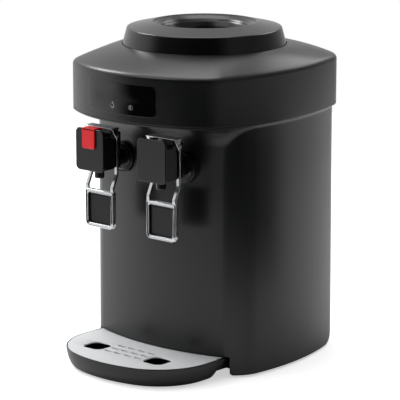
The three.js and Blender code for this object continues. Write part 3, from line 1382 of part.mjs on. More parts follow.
function tapBody(withLock) {
  const face = prism('y', roundedRectangle(-tapFaceWidth / 2, tapFaceWidth / 2, tapFaceBottomZ, tapFaceTopZ,
    tapFaceCorner), tapFaceY, tapFaceBackY);
  const wallTopZ = tapFaceTopZ - tapWallTop;
  const insideFaceY = tapFaceBackY - tapFaceThickness / 2;
  const block = prism('x', polygon([
    [insideFaceY, tapBlockBottomZ], [tapBlockRearY, tapBlockBottomZ],
    [tapBlockRearY, wallTopZ - tapSlopeDrop],
    [tapBlockRearY - tapSlopeRun, wallTopZ], [insideFaceY, wallTopZ],
  ]), -tapBlockWidth / 2, tapBlockWidth / 2);
  const rear = box(-tapRearWidth / 2, tapRearWidth / 2, tapBlockRearY - tapFaceThickness,
    tapBlockRearY + tapRearLength,
    tapBlockBottomZ, tapFaceTopZ - tapRearTop);
  const stemZ = tapWellZ - stemDepth;
  const well = box(-tapWellHalfWidth, tapWellHalfWidth, tapFaceBackY, tapBlockRearY, tapWellZ,
    tapFaceTopZ + overrun);
  const neck = turned('y', [
    [0, tapBlockRearY + tapRearLength - tapFaceThickness],
    [neckRadius, tapBlockRearY + tapRearLength - tapFaceThickness],
    [neckRadius, washerFrontY - seat], [shankRadius, washerFrontY - seat], [shankRadius, shankEndY],
    [0, shankEndY],
  ], at(0, 0, tapZ), 20);
  const nozzleHole = rod('z', nozzleSpigot + seat, tapBlockBottomZ - overrun,
    tapBlockBottomZ + nozzleSpigotLength + seat,
    valvePlace, 16);
  const stemHole = rod('z', stemRadius + seat, stemZ - seat, tapWellZ + overrun, valvePlace, 12);
  const pinHole = rod('x', pinRadius + pinClearance, -tapRearWidth, tapRearWidth, pinPlace, 12);
  const notchZ = tapFaceTopZ + lockRise - lockBridge - lockTravel - seat;
  const notch = box(-lockWidth / 2 - seat, lockWidth / 2 + seat, tapFaceY - overrun,
    tapFaceBackY + overrun / 2,
    notchZ, tapFaceTopZ + overrun);
  const whole = cut(join(cut(join(face, block, rear), well), neck), nozzleHole, stemHole, pinHole);
  return withLock ? whole.subtract(notch) : whole;
}

function hotLock() {
  const front = tapFaceY - lockProud;
  const back = front + lockThickness;
  const topZ = tapFaceTopZ + lockRise;
  const underZ = topZ - lockBridge;
  const hook = tapFaceBackY + seat;
  return prism('x', polygon([
    [front, topZ - lockLength], [back, topZ - lockLength], [back, underZ], [hook, underZ],
    [hook, underZ - lockHookLength], [hook + lockThickness, underZ - lockHookLength],
    [hook + lockThickness, underZ],
    [tapFaceY + lockReach, underZ], [tapFaceY + lockReach, topZ], [front + lockBevel, topZ],
    [front, topZ - lockBevel],
  ]), -lockWidth / 2, lockWidth / 2);
}

// Lever: bent from one strip, a top plate, two arms and a frame that holds the paddle pad
const leverWidth = 45.6;
const leverSheet = 2.2;
const leverPlateFront = 16.2; // behind the tap's face
const leverPlateDepth = 15;
const leverPlateThickness = 1.8;
const leverPlateRise = 0.7; // plate top above the face's top
const leverArmFront = 23.2;
const leverArmDepth = 7.5;
const gussetDrop = 14.2;
const jogTopDrop = 17; // below the tap's axis
const jogBottomDrop = 31.5;
const leverFrameFront = 16.4;
const leverFrameDepth = 9;
const leverFrameBottom = 87; // below the tap's axis
const leverFrameHeight = 51.5;
const leverCrossbar = 3.5;
const leverFrameCorner = 6;
const padRecess = 3.5;
const padThickness = 4.5;
const padCorner = 3.4;
const plateTopZ = tapFaceTopZ + leverPlateRise;
const plateUnderZ = plateTopZ - leverPlateThickness;
const frameBottomZ = tapZ - leverFrameBottom;
const frameTopZ = frameBottomZ + leverFrameHeight;

function frameWindow(inset, radius) {
  return roundedRectangle(-leverWidth / 2 + leverSheet + inset, leverWidth / 2 - leverSheet - inset,
    frameBottomZ + leverSheet + inset, frameTopZ - leverCrossbar - inset, radius);
}

function lever() {
  const half = leverWidth / 2;
  const armFront = tapFaceY + leverArmFront;
  const armRear = armFront + leverArmDepth;
  const plateFront = tapFaceY + leverPlateFront;
  const frameFront = tapFaceY + leverFrameFront;
  const frameRear = frameFront + leverFrameDepth;
  const plate = box(-half, half, plateFront, plateFront + leverPlateDepth, plateUnderZ, plateTopZ);
  const side = polygon([
    [frameFront, frameTopZ - leverCrossbar], [frameRear, frameTopZ - leverCrossbar],
    [frameRear, tapZ - jogBottomDrop], [armRear, tapZ - jogTopDrop],
    [armRear, plateTopZ - leverPlateThickness / 2],
    [plateFront, plateTopZ - leverPlateThickness / 2], [plateFront, plateUnderZ],
    [armFront, plateUnderZ - gussetDrop], [armFront, tapZ - jogTopDrop], [frameFront, tapZ - jogBottomDrop],
  ]);
  const sides = [-half, half - leverSheet].map((x) => prism('x', side, x, x + leverSheet));
  const outline = new THREE.Shape();
  outline.moveTo(half, frameTopZ);
  outline.lineTo(-half, frameTopZ);
  outline.absarc(-half + leverFrameCorner, frameBottomZ + leverFrameCorner, leverFrameCorner, Math.PI,
    Math.PI * 1.5, false);
  outline.absarc(half - leverFrameCorner, frameBottomZ + leverFrameCorner, leverFrameCorner,
    Math.PI * 1.5, Math.PI * 2, false);
  const loop = cut(prism('y', outline, frameFront, frameRear),
    prism('y', frameWindow(0, leverFrameCorner - leverSheet), frameFront - overrun, frameRear + overrun));
  const pinHole = rod('x', pinRadius + pinClearance, -leverWidth, leverWidth, pinPlace, 12);
  return cut(join(plate, ...sides, loop), pinHole);
}

function paddlePad() {
  const front = tapFaceY + leverFrameFront + padRecess;
  return prism('y', frameWindow(seat, padCorner), front, front + padThickness);
}

function leverPin() {
  const grip = leverWidth / 2 + seat;
  return turned('x', [
    [0, -grip - pinHead], [pinHeadRadius, -grip - pinHead], [pinHeadRadius, -grip], [pinRadius, -grip],
    [pinRadius, grip], [pinHeadRadius, grip], [pinHeadRadius, grip + pinHead], [0, grip + pinHead],
  ], pinPlace, 12);
}

function plunger() {
  const topZ = plateUnderZ - seat;
  return turned('z', [
    [0, tapWellZ - stemDepth + seat + leverPlateThickness * 2],
    [stemRadius, tapWellZ - stemDepth + seat + leverPlateThickness * 2],
    [stemRadius, topZ - plungerHead], [plungerRadius, topZ - plungerHead], [plungerRadius, topZ], [0, topZ],
  ], valvePlace, 12);
}

// Valve spring: a helix on the plunger's stem between the well's floor and the plunger's head
const springRadius = 2.8;
const springWire = 0.8;
const springTurns = 6;
const springStepsPerTurn = 8;
const springSides = 4;

function springPoints() {
  const bottomZ = tapWellZ + seat + springWire / 2;
  const topZ = plateUnderZ - seat - plungerHead - seat - springWire / 2;
  const steps = springTurns * springStepsPerTurn;
  return Array.from({ length: steps + 1 }, (_, k) => {
    const angle = (2 * Math.PI * k) / springStepsPerTurn;
    return at(springRadius * Math.cos(angle), valvePlace.y + springRadius * Math.sin(angle),
      bottomZ + ((topZ - bottomZ) * k) / steps);
  });
}

function valveSpring() {
  const points = springPoints();
  const rings = points.map((point) => {
    const outward = at(point.x, point.y - valvePlace.y, 0).normalize();
    return Array.from({ length: springSides }, (_, k) => {
      const angle = (2 * Math.PI * k) / springSides;
      return point.clone().addScaledVector(outward, (springWire / 2) * Math.cos(angle))
        .add(at(0, 0, (springWire / 2) * Math.sin(angle)));
    });
  });
  return loft(rings);
}

// Least gap of the spring's wire to itself, measured between points at least half a turn apart
function springGap() {
  const points = springPoints();
  const apart = points.flatMap((point, i) => points.slice(i + springStepsPerTurn / 2).map((other) =>
    point.distanceTo(other)));
  return Math.min(...apart) - springWire;
}
console.log(`valve spring: least gap of the wire to itself ${springGap().toFixed(2)} mm`);

function nozzle() {
  const topZ = tapBlockBottomZ - seat;
  return turned('z', [
    [nozzleBore, topZ - nozzleDrop], [nozzleRadius - nozzleTaper, topZ - nozzleDrop],
    [nozzleRadius, topZ - nozzleDrop + 2 * nozzleTaper], [nozzleRadius, topZ], [nozzleSpigot, topZ],
    [nozzleSpigot, tapBlockBottomZ + nozzleSpigotLength],
    [nozzleBore, tapBlockBottomZ + nozzleSpigotLength],
  ], valvePlace, 16);
}

function tapWasher() {
  return turned('y', [
    [shankRadius + seat, washerFrontY], [washerRadius - washerBevel, washerFrontY],
    [washerRadius, washerFrontY + washerBevel], [washerRadius, tapPadY - seat],
    [shankRadius + seat, tapPadY - seat],
  ], at(0, 0, tapZ), 24);
}

function tapNut() {
  const frontY = tapPadY + tapBossDepth + seat;
  const hexagon = rod('y', nutAcross, frontY, frontY + nutThickness, at(0, 0, tapZ), 6);
  return cut(hexagon, rod('y', shankRadius + seat, frontY - overrun, frontY + nutThickness + overrun,
    at(0, 0, tapZ), 20));
}

[['hot', -tapSpacing / 2], ['cold', tapSpacing / 2]].forEach(([name, x]) => {
  const tap = new THREE.Group();
  tap.position.x = x;
  cooler.add(tap);
  addPart(`${name}_tap_body`, tapBody(name === 'hot'), mattBlack, tap);
  addPart(`${name}_tap_washer`, tapWasher(), glossBlack, tap);
  addPart(`${name}_tap_nut`, tapNut(), naturalPlastic, tap);
  addPart(`${name}_lever`, lever(), chrome, tap);
  addPart(`${name}_paddle_pad`, paddlePad(), mattBlack, tap);
  addPart(`${name}_lever_pin`, leverPin(), brushedSteel, tap);
  addPart(`${name}_plunger`, plunger(), naturalPlastic, tap);
  addPart(`${name}_valve_spring`, valveSpring(), brushedSteel, tap);
  addPart(`${name}_nozzle`, nozzle(), mattBlack, tap);
  if (name === 'hot') addPart('hot_lock', hotLock(), redPlastic, tap);
});

export default cooler;
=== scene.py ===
import bmesh
import bpy
import numpy as np
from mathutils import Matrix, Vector


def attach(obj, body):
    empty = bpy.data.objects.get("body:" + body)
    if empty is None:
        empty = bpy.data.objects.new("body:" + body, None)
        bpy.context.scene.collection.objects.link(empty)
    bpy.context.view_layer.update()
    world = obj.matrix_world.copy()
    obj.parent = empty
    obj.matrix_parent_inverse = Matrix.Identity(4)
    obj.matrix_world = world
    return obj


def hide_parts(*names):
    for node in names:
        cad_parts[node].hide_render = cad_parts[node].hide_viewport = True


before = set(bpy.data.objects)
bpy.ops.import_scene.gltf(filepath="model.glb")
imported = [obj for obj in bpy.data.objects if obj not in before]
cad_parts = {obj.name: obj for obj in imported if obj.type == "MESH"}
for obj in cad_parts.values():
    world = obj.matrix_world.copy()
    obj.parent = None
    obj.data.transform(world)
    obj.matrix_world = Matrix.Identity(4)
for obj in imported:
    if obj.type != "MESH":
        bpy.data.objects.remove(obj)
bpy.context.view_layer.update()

# Feet and base: four nitrile rubber buttons pressed into a moulded floor of black ABS, so
# that the cooler grips the table and stands clear of spilt water.


def linear(colour):
    """The linear colour of an sRGB hex value."""
    srgb = np.array([int(colour[i:i + 2], 16) for i in (1, 3, 5)]) / 255
    return (*np.where(srgb <= 0.04045, srgb / 12.92, ((srgb + 0.055) / 1.055) ** 2.4), 1.0)


def add_node(material, kind, inputs=(), **settings):
    """Adds a node. An input given as a socket is linked, and any other value is set."""
    node = material.node_tree.nodes.new(kind)
    for name, value in settings.items():
        setattr(node, name, value)
    for name, value in dict(inputs).items():
        if isinstance(value, bpy.types.NodeSocket):
            material.node_tree.links.new(value, node.inputs[name])
        else:
            node.inputs[name].default_value = value
    return node


def moulded(name, colour, worn, roughness, grain, depth, stretch=(1, 1, 1), **shader):
    """A surface whose relief is noise of one grain size and depth, both in millimetres. That
    noise times a slow cloud of handling marks tints it towards worn, and the cloud moves the
    roughness a tenth up and down. Real grain is finer than a render shows, so the finishes
    are drawn at 0.4 mm or more."""
    marks_per_metre = 22.0  # each mark is about 45 mm wide
    material = bpy.data.materials.new(name)
    material.use_nodes = True
    material.node_tree.nodes.clear()
    place = add_node(material, "ShaderNodeTexCoord").outputs["Object"]
    drawn = add_node(material, "ShaderNodeMapping", {"Vector": place, "Scale": stretch})
    relief = add_node(material, "ShaderNodeTexNoise", {
        "Vector": drawn.outputs[0], "Scale": 1000 / grain, "Detail": 2.0, "Roughness": 0.55})
    cloud = add_node(material, "ShaderNodeTexNoise", {
        "Vector": place, "Scale": marks_per_metre, "Detail": 3.0, "Roughness": 0.5})
    share = add_node(material, "ShaderNodeMath", {
        0: relief.outputs["Fac"], 1: cloud.outputs["Fac"]}, operation="MULTIPLY")
    tint = add_node(material, "ShaderNodeMix", {
        0: share.outputs[0], 6: linear(colour), 7: linear(worn)}, data_type="RGBA")
    gloss = add_node(material, "ShaderNodeMapRange", {
        "Value": cloud.outputs["Fac"], "To Min": roughness * 0.9, "To Max": roughness * 1.1})
    bump = add_node(material, "ShaderNodeBump", {
        "Height": relief.outputs["Fac"], "Strength": 1.0, "Distance": depth / 1000})
    bsdf = add_node(material, "ShaderNodeBsdfPrincipled", {
        "Base Color": tint.outputs[2], "Roughness": gloss.outputs[0], "Normal": bump.outputs[0],
        **shader})
    add_node(material, "ShaderNodeOutputMaterial", {"Surface": bsdf.outputs[0]})
    return material


def dress(material, *names):
    """Gives CAD nodes their material."""
    for name in names:
        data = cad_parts[name].data
        data.materials.clear()
        data.materials.append(material)


# Nitrile rubber is dull, with no highlight. ABS from a spark-eroded mould has a fine satin
# grain: about 0.3 mm in the real one, drawn at 0.5 mm so that it shows.
nitrile_rubber = moulded("nitrile rubber", "#161616", "#222222", 0.85, grain=0.8, depth=0.03)
grained_abs = moulded("grained black ABS", "#0f1011", "#151617", 0.31, grain=0.5, depth=0.004)
dress(nitrile_rubber, "foot_front_left", "foot_front_right", "foot_rear_left", "foot_rear_right")
dress(grained_abs, "base_plate")

# Inner frame and tanks: zinc-plated sheet carries a deep-drawn steel cold tank in a foam
# cup and a welded hot tank with its heater band, jacket and clip-on thermostat.

# Zinc plate is a dull grey metal with flowers of a few millimetres. Drawn steel is brighter,
# with lines along the draw. Foam shows its 4 mm beads, nylon is milky, the phenolic is matt
# and nearly black, and silicone lets a little light in.
zinc_plate = moulded("zinc-plated steel", "#8f9396", "#a6a9ab", 0.42, grain=4, depth=0.02, Metallic=1.0)
drawn_steel = moulded("deep-drawn stainless steel", "#b9bbbd", "#c8cacb", 0.3, grain=0.6, depth=0.004,
                      stretch=(1, 1, 0.05), Metallic=1.0)
bead_foam = moulded("expanded bead foam", "#cfccc2", "#dedbd2", 0.95, grain=4, depth=0.3)
natural_nylon = moulded("natural nylon", "#d9dad4", "#e6e6e0", 0.45, grain=0.8, depth=0.01)
phenolic = moulded("phenolic thermostat body", "#1c1b1a", "#2a2826", 0.6, grain=0.6, depth=0.01)
silicone_hose = moulded("silicone hose", "#cfd4d3", "#dde1e0", 0.4, grain=1, depth=0.01,
                        **{"Subsurface Weight": 0.2})
dress(zinc_plate, "inner_frame", "heater_band")
dress(drawn_steel, "cold_tank", "hot_tank")
dress(bead_foam, "cold_tank_foam", "hot_tank_jacket")
dress(natural_nylon, "cold_tank_lid", "tank_separator", "drain_pipe", "hot_tap_nut",
      "cold_tap_nut", "hot_plunger", "cold_plunger")
dress(phenolic, "hot_thermostat")
dress(silicone_hose, "hot_feed_pipe", "hot_outlet_pipe", "cold_outlet_pipe")

# Cooling train: an extruded aluminium sink with saw-cut fins, a ceramic thermoelectric
# module, a milled cold block and a moulded fan, with the control board beside them.

# Extruded aluminium has fine lines along its fins, alumina is chalk white, glass-filled
# nylon is a deep black with a sheen, and the board's green lacquer shines over its weave,
# which is drawn three times as coarse as the cloth.
extruded_aluminium = moulded("extruded aluminium", "#9c9fa1", "#b4b6b8", 0.38, grain=0.6, depth=0.01,
                             stretch=(1, 1, 0.04), Metallic=1.0)
alumina = moulded("alumina ceramic", "#e4e3de", "#efeeea", 0.6, grain=0.4, depth=0.004)
glass_filled_nylon = moulded("glass-filled black nylon", "#0a0a0b", "#0f0f10", 0.28, grain=0.7,
                             depth=0.006)
circuit_board = moulded("lacquered circuit board", "#174a30", "#1f5c3c", 0.35, grain=2, depth=0.03)
dress(extruded_aluminium, "heat_sink", "cold_block")
dress(alumina, "cooling_module")
dress(glass_filled_nylon, "fan_frame", "fan_rotor", "power_inlet", "drain_plug", "cooling_switch")
dress(circuit_board, "control_board", "indicator_board")

# Front shell: one ABS moulding bowed in plan, wrapped round both sides and flared out under
# the head in a cove. Its wall narrows upwards by a small mould draft, and a bay is cut in
# its foot for the drip tray. All sizes are in millimetres.
wall = 2.6
foot_z = 3.0
head_z = 328.5
draft = 1.45
body_front_y = -78.625
body_back_y = 178.575
head_front_y = -141.775
head_bow = 193.8
side_centre_y = 21.675


def corner_arc(one, other, radius, towards):
    """The arc of this radius that touches two larger arcs from inside: its centre is where
    circles about their centres, smaller by the radius, cross on the side of towards."""
    (a, first), (b, second) = one, other
    first, second = first - radius, second - radius
    apart = np.linalg.norm(b - a)
    along = (first ** 2 - second ** 2 + apart ** 2) / (2 * apart)
    unit = (b - a) / apart
    aside = np.sqrt(first ** 2 - along ** 2) * np.array([-unit[1], unit[0]])
    between = a + unit * along
    return max(between + aside, between - aside, key=lambda p: p @ towards), radius


def casing_plan(half_width, front_y, front_bow, side_bow, nose, heel, back_bow=3000.0):
    """The right half of a casing's plan: front, front corner, side, rear corner and back
    arcs, each as centre, radius, first and last angle."""
    front = np.array([0, front_y + front_bow]), front_bow
    side = np.array([half_width - side_bow, side_centre_y]), side_bow
    back = np.array([0, body_back_y - back_bow]), back_bow
    nose = corner_arc(front, side, nose, np.array([1, -1]))
    heel = corner_arc(side, back, heel, np.array([1, 1]))
    turn = lambda a, b: np.arctan2(*(b[0] - a[0])[::-1])
    turns = [-np.pi / 2, turn(front, nose), turn(side, nose), turn(side, heel), turn(back, heel),
             np.pi / 2]
    arcs = [front, nose, side, heel, back]
    return [(c, r, turns[i], turns[i + 1]) for i, (c, r) in enumerate(arcs)]


body_plan = casing_plan(half_width=135.0, front_y=body_front_y, front_bow=309.4, side_bow=348.5,
                        nose=43.7, heel=52.0)
head_plan = casing_plan(half_width=142.96, front_y=head_front_y, front_bow=head_bow, side_bow=356.5,
                        nose=39.65, heel=60.0)


def plan_row(plan, counts, extra=()):
    """Points on a plan and their outward directions, from the front centre round the right
    side. extra adds angles on the front corner."""
    points, outs = [], []
    for i, ((centre, radius, start, end), count) in enumerate(zip(plan, counts)):
        angles = start + (end - start) * np.linspace(0, 1, count + 1)[i > 0:]
        if i == 1:
            angles = np.sort(np.concatenate([angles, extra]))
        out = np.stack([np.cos(angles), np.sin(angles)], 1)
        points.append(centre + out * radius)
        outs.append(out)
    return np.vstack(points), np.vstack(outs)


def both_sides(rows):
    """A right-hand row and its mirror image, as one row from the left end to the right."""
    left = rows[:0:-1] * np.array([-1, 1])
    return np.vstack([left, rows])


def overhang(points, outs):
    """How far the head's outline lies ahead: each ray meets the arc whose angles hold it."""
    mirror = np.sign(points[:, :1] + 1e-9) ** [1, 0]  # left-hand points use the right half's arcs
    start = points * mirror
    way = outs * mirror
    reach = np.full(len(points), np.inf)
    for centre, radius, low, high in head_plan:
        offset = start - centre
        along = (offset * way).sum(1)
        step = np.sqrt(np.maximum(along ** 2 + radius ** 2 - (offset ** 2).sum(1), 0)) - along
        hit = offset + way * step[:, None]
        angle = np.arctan2(hit[:, 1], hit[:, 0])
        held = (angle >= low - 1e-4) & (angle <= high + 1e-4)
        reach = np.where(held, np.minimum(reach, step), reach)
    return np.maximum(reach, 0)


def skin(rings, closed=False):
    """Quads between rings of points, a grid of ring by point. The rings close on
    themselves, and the two end rings are capped unless the last one joins the first."""
    rows, size = rings.shape[:2]
    index = np.arange(rows * size).reshape(rows, size)
    upper = np.roll(index, -1, 0) if closed else index[1:]
    lower = index if closed else index[:-1]
    quads = np.stack([lower, np.roll(lower, -1, 1), np.roll(upper, -1, 1), upper], -1)
    faces = quads.reshape(-1, 4).tolist()
    caps = [] if closed else [index[0, ::-1].tolist(), index[-1].tolist()]
    return rings.reshape(-1, 3), faces + caps


def add_piece(name, skins, body, material, replaced=(), sharp=38):
    """One object from closed skins in millimetres: doubles merged, faces turned outwards,
    smooth except where two faces meet at more than the sharp angle in degrees."""
    close = 2e-6  # metres
    start = np.cumsum([0] + [len(points) for points, _ in skins])
    points = np.vstack([points for points, _ in skins]) / 1000
    faces = [[v + first for v in face] for first, (_, faces) in zip(start, skins) for face in faces]
    mesh = bpy.data.meshes.new(name)
    mesh.from_pydata(points, [], faces)
    shape = bmesh.new()
    shape.from_mesh(mesh)
    bmesh.ops.remove_doubles(shape, verts=shape.verts, dist=close)
    bmesh.ops.dissolve_degenerate(shape, edges=shape.edges, dist=close)
    bmesh.ops.recalc_face_normals(shape, faces=shape.faces)
    shape.to_mesh(mesh)
    shape.free()
    mesh.polygons.foreach_set("use_smooth", np.ones(len(mesh.polygons), bool))
    mesh.set_sharp_from_angle(angle=np.radians(sharp))
    mesh.materials.append(material)
    piece = bpy.data.objects.new(name, mesh)
    bpy.context.scene.collection.objects.link(piece)
    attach(piece, body)
    if replaced:
        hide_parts(*replaced)


bay_half_width = 113.3
bay_height = 27.0
bay_flare = 4.0
cove_radius, cove_share = 30.0, 0.9
heel_radius = 23.0
heel_start = body_back_y - 46.0
heel_inner, heel_outer = 76.0, 100.0


def shell_skin():
    """The wall's section carried round the plan. Each column starts at the foot, or at the
    bay's upper edge, climbs the drafted wall, turns out through a quarter circle as wide as
    0.9 of the overhang, up to 30 mm, and runs flat to the head's outline. Towards the rear
    corners the foot climbs a quarter circle, times a smooth step across the width."""
    centre, radius, *_ = body_plan[1]
    across = np.concatenate([[bay_half_width - 0.01], bay_half_width + bay_flare
                             * (1 - np.cos(np.linspace(0.01, np.pi / 2, 7)))])
    extra = -np.arccos((across - centre[0]) / (radius + draft))
    right, out = plan_row(body_plan[:4], (36, 28, 60, 40), extra)
    points, outs = both_sides(right), both_sides(out)
    reach = overhang(points, outs)
    cove = np.minimum(cove_radius, cove_share * reach)
    x = np.abs(points[:, 0] + outs[:, 0] * draft)
    aside = np.clip(bay_half_width + bay_flare - x, 0, bay_flare)
    rounded_foot = foot_z + bay_flare - np.sqrt(bay_flare ** 2 - aside ** 2)
    front = points[:, 1] < 0
    behind = np.clip(points[:, 1] - heel_start, 0, heel_radius)
    outward = np.clip((x - heel_inner) / (heel_outer - heel_inner), 0, 1)
    lifted = heel_radius - np.sqrt(heel_radius ** 2 - behind ** 2)
    heel = foot_z + lifted * outward ** 2 * (3 - 2 * outward)
    foot = np.where(front & (x < bay_half_width), bay_height, np.where(front, rounded_foot, heel))
    angle = np.linspace(0, np.pi / 2, 13)
    climb = np.linspace(0, 1, 9)
    columns = []
    edge = 0.5
    column = lambda u, z: columns.append((np.broadcast_to(u, x.shape), np.broadcast_to(z, x.shape)))
    # The foot's outer edge, the wall, the cove and the flat under the head.
    column(-edge, foot)
    column(-0.15, foot + 0.15)
    column(0.0, foot + edge)
    for share in climb:
        column(0.0, foot + 2 * edge + (head_z - cove - foot - 2 * edge) * share)
    for a in angle[1:]:
        column(cove - cove * np.cos(a), head_z - cove + cove * np.sin(a))
    column(cove + (reach - cove) * 0.5, head_z)
    column(np.maximum(reach - 1.1, cove), head_z)
    column(np.maximum(reach - 0.7, cove), head_z)
    column(reach - 0.2, head_z + 0.2)
    column(reach, head_z + 0.7)
    column(reach, head_z + wall)
    # Back down the inside, with a lip that goes under the base behind the raised corners.
    for a in angle[::-1]:
        column(cove - (cove + wall) * np.cos(a), head_z - cove + (cove + wall) * np.sin(a))
    under = np.where(front, 0, foot - foot_z)
    column(-wall, foot + wall)
    column(-wall - edge - under, foot + wall - under)
    column(-wall - edge - under, foot - under)
    column(-wall - edge - under * 0.55, foot - under * 0.8)
    column(-wall - under * 0.15, foot - under * 0.4)
    column(-wall + edge, foot)
    u = np.stack([c[0] for c in columns], 1)
    z = np.stack([c[1] for c in columns], 1)
    u = u + draft * np.clip(1 - (z - foot_z) / (head_z - foot_z), 0, 1)
    flat = points[:, None] + outs[:, None] * u[..., None]
    return skin(np.concatenate([flat, z[..., None]], -1))


tap_x = 53.3
tap_z = 269.5
pad_y = -80.225


def rounded(corners, radii, steps=4):
    """An outline whose corners are arcs. A corner's arc starts and ends where a circle of
    its radius touches the two edges, and a point a third of the radius further on holds
    the flat beside it."""
    corners = np.asarray(corners, float)
    arcs = []
    for before, corner, after, radius in zip(np.roll(corners, 1, 0), corners, np.roll(corners, -1, 0),
                                             np.broadcast_to(radii, len(corners))):
        back, ahead = [(p - corner) / np.linalg.norm(p - corner) for p in (before, after)]
        half = np.arccos(np.clip(back @ ahead, -1, 1)) / 2
        if radius == 0 or half > 1.55:  # a sharp corner, or hardly a corner
            arcs.append(corner[None])
            continue
        reach = radius / np.tan(half)
        centre = corner + (back + ahead) / np.linalg.norm(back + ahead) * radius / np.sin(half)
        t = np.linspace(0, 1, steps + 1)[:, None] * (np.pi - 2 * half)
        first, last = corner + back * reach - centre, corner + ahead * reach - centre
        arc = (np.sin(np.pi - 2 * half - t) * first + np.sin(t) * last) / np.sin(np.pi - 2 * half)
        arcs.append(np.vstack([corner + back * (reach + radius / 3), centre + arc,
                               corner + ahead * (reach + radius / 3)]))
    return np.vstack(arcs)


def turned(profile, centre, along, steps=72):
    """A revolved skin: every point of a closed profile of (radius, height) goes round the
    axis through centre."""
    profile = np.asarray(profile, float)
    angle = np.arange(steps) * 2 * np.pi / steps
    side = profile[None, :, 0] * np.cos(angle)[:, None]
    up = profile[None, :, 0] * np.sin(angle)[:, None]
    high = np.broadcast_to(profile[:, 1], side.shape)
    order = {"z": (side, up, high), "y": (side, high, up), "x": (high, side, up)}[along]
    return skin(np.stack(order, -1) + np.asarray(centre, float), closed=True)


def tap_pad(x):
    """The round boss that a tap is screwed to, with a shallow ring turned in its face."""
    profile = rounded([(0, 0), (17.4, 0), (17.7, 0.5), (18.3, 0.5), (18.6, 0), (20, 0), (20, 14),
                       (0, 14)], [0, 0.15, 0, 0, 0.15, 0.9, 0, 0])
    return turned(profile, (x, pad_y, tap_z), "y")


add_piece("front_shell_skin", [shell_skin(), tap_pad(-tap_x), tap_pad(tap_x)], "cooler", grained_abs,
          ["front_shell"])

# Rear panel: the back of the casing, with the fan's grille, low vents and a well that holds
# the rocker switches, the mains inlet and the drain.

# Polished polyamide throws small sharp highlights, and the rocker's red is clear and even.
polished_pa = moulded("polished black polyamide", "#0f0f10", "#161617", 0.22, grain=0.6, depth=0.003)
red_rocker = moulded("red polycarbonate rocker", "#b81620", "#c92a30", 0.3, grain=0.6, depth=0.003)
dress(grained_abs, "rear_panel")
dress(polished_pa, "switch_housing")
dress(red_rocker, "heating_switch")

# Head cover: the overhanging upper casing in the same ABS. Upright sides turn over a small
# round shoulder into a crown that swells up to the rebate round the bottle seat.
crown_z = 412.4
shoulder_z = 391.85
seat_y = 22.475
seat_radius = 107.4
shoulder_height = 4.5
shoulder_width = 5.0
climb_bend = 0.45
rebate_z = crown_z - 2.5
rebate_width = 10.6
seat_gap = 0.4


def head_skin():
    """The section carried round the plan as a closed loop. The shoulder is a quadratic
    curve from the side to the crown. Of the share s of the way to the seat, the crown's
    climb is (1 - bend) s + bend (1 - (1 - s)^2), whose slope at the side is 1 + bend."""
    right, out = plan_row(head_plan, (36, 24, 24, 24, 12))
    points = np.vstack([right, right[-2:0:-1] * [-1, 1]])
    outs = np.vstack([out, out[-2:0:-1] * [-1, 1]])
    to_seat = points - [0, seat_y]
    to_seat = to_seat / np.linalg.norm(to_seat, axis=1)[:, None]
    on_seat = lambda radius: to_seat * radius + [0, seat_y]
    edge = on_seat(seat_radius)
    span = np.linalg.norm(edge - points, axis=1)
    rise = crown_z - shoulder_z
    climb = lambda s: climb_bend * (1 - (1 - s) ** 2) + (1 - climb_bend) * s
    rings = []
    ring = lambda xy, z: rings.append(np.concatenate(
        [xy, np.broadcast_to(np.reshape(z, (-1, 1)), (len(points), 1))], 1))
    bottom = head_z + wall + 0.3
    ring(points - outs * wall, bottom)
    for inset, up in ((0.7, 0), (0.2, 0.15), (0, 0.6), (0, 1.2)):
        ring(points - outs * inset, bottom + up)
    round_z = shoulder_z - shoulder_height
    for z in np.linspace(bottom + 6, round_z - 1, 6):
        ring(points, z)
    first = shoulder_width / span
    top = shoulder_z + rise * climb(first)
    land = points + (edge - points) * first[:, None]
    knee_z = top - rise * (1 + climb_bend) / span * shoulder_width
    for t in np.linspace(0, 1, 11):
        ring((1 - t * t) * points + t * t * land,
             (1 - t) ** 2 * round_z + 2 * t * (1 - t) * knee_z + t * t * top)
    for t in np.linspace(0, 1, 25)[1:]:
        share = first + (1 - first) * t
        ring(points + (edge - points) * share[:, None], shoulder_z + rise * climb(share))
    ring(on_seat(seat_radius - 0.3), crown_z - 0.1)
    ring(on_seat(seat_radius - seat_gap), crown_z - 0.5)
    ring(on_seat(seat_radius - seat_gap), rebate_z)
    ring(on_seat(seat_radius - seat_gap - rebate_width), rebate_z)
    ring(on_seat(seat_radius - seat_gap - rebate_width), rebate_z - wall)
    ring(edge, rebate_z - wall)
    ring(land, top - wall - 2)
    ring(points - outs * wall, round_z)
    return skin(np.stack(rings), closed=True)


add_piece("head_cover_skin", [head_skin()], "cooler", grained_abs, ["head_cover"])

# Display: a window of black acrylic set flush in the head, hard-coated and polished, with a
# bevelled edge that catches the light. A hot and a cold symbol are printed on it.

# Smoked acrylic mirrors the studio like black glass. The screen ink is flat and pale.
smoked_acrylic = moulded("smoked acrylic", "#040405", "#060607", 0.05, grain=1, depth=0.001)
grey_ink = moulded("grey screen ink", "#a2a4a6", "#b0b2b4", 0.5, grain=0.5, depth=0.002)
lamp_z = 351.0
lamp_places = {"hot": -8.8, "cold": 21.5}
face_out = 0.5
ink_low, ink_high = 0.4, 0.56
flame_size, flame_line, snow_size = 4.3, 0.6, 3.5


def on_head(x, out=0.0):
    """Y on the head's front bow, a distance outside it."""
    return head_front_y + head_bow - np.sqrt((head_bow + out) ** 2 - np.asarray(x) ** 2)


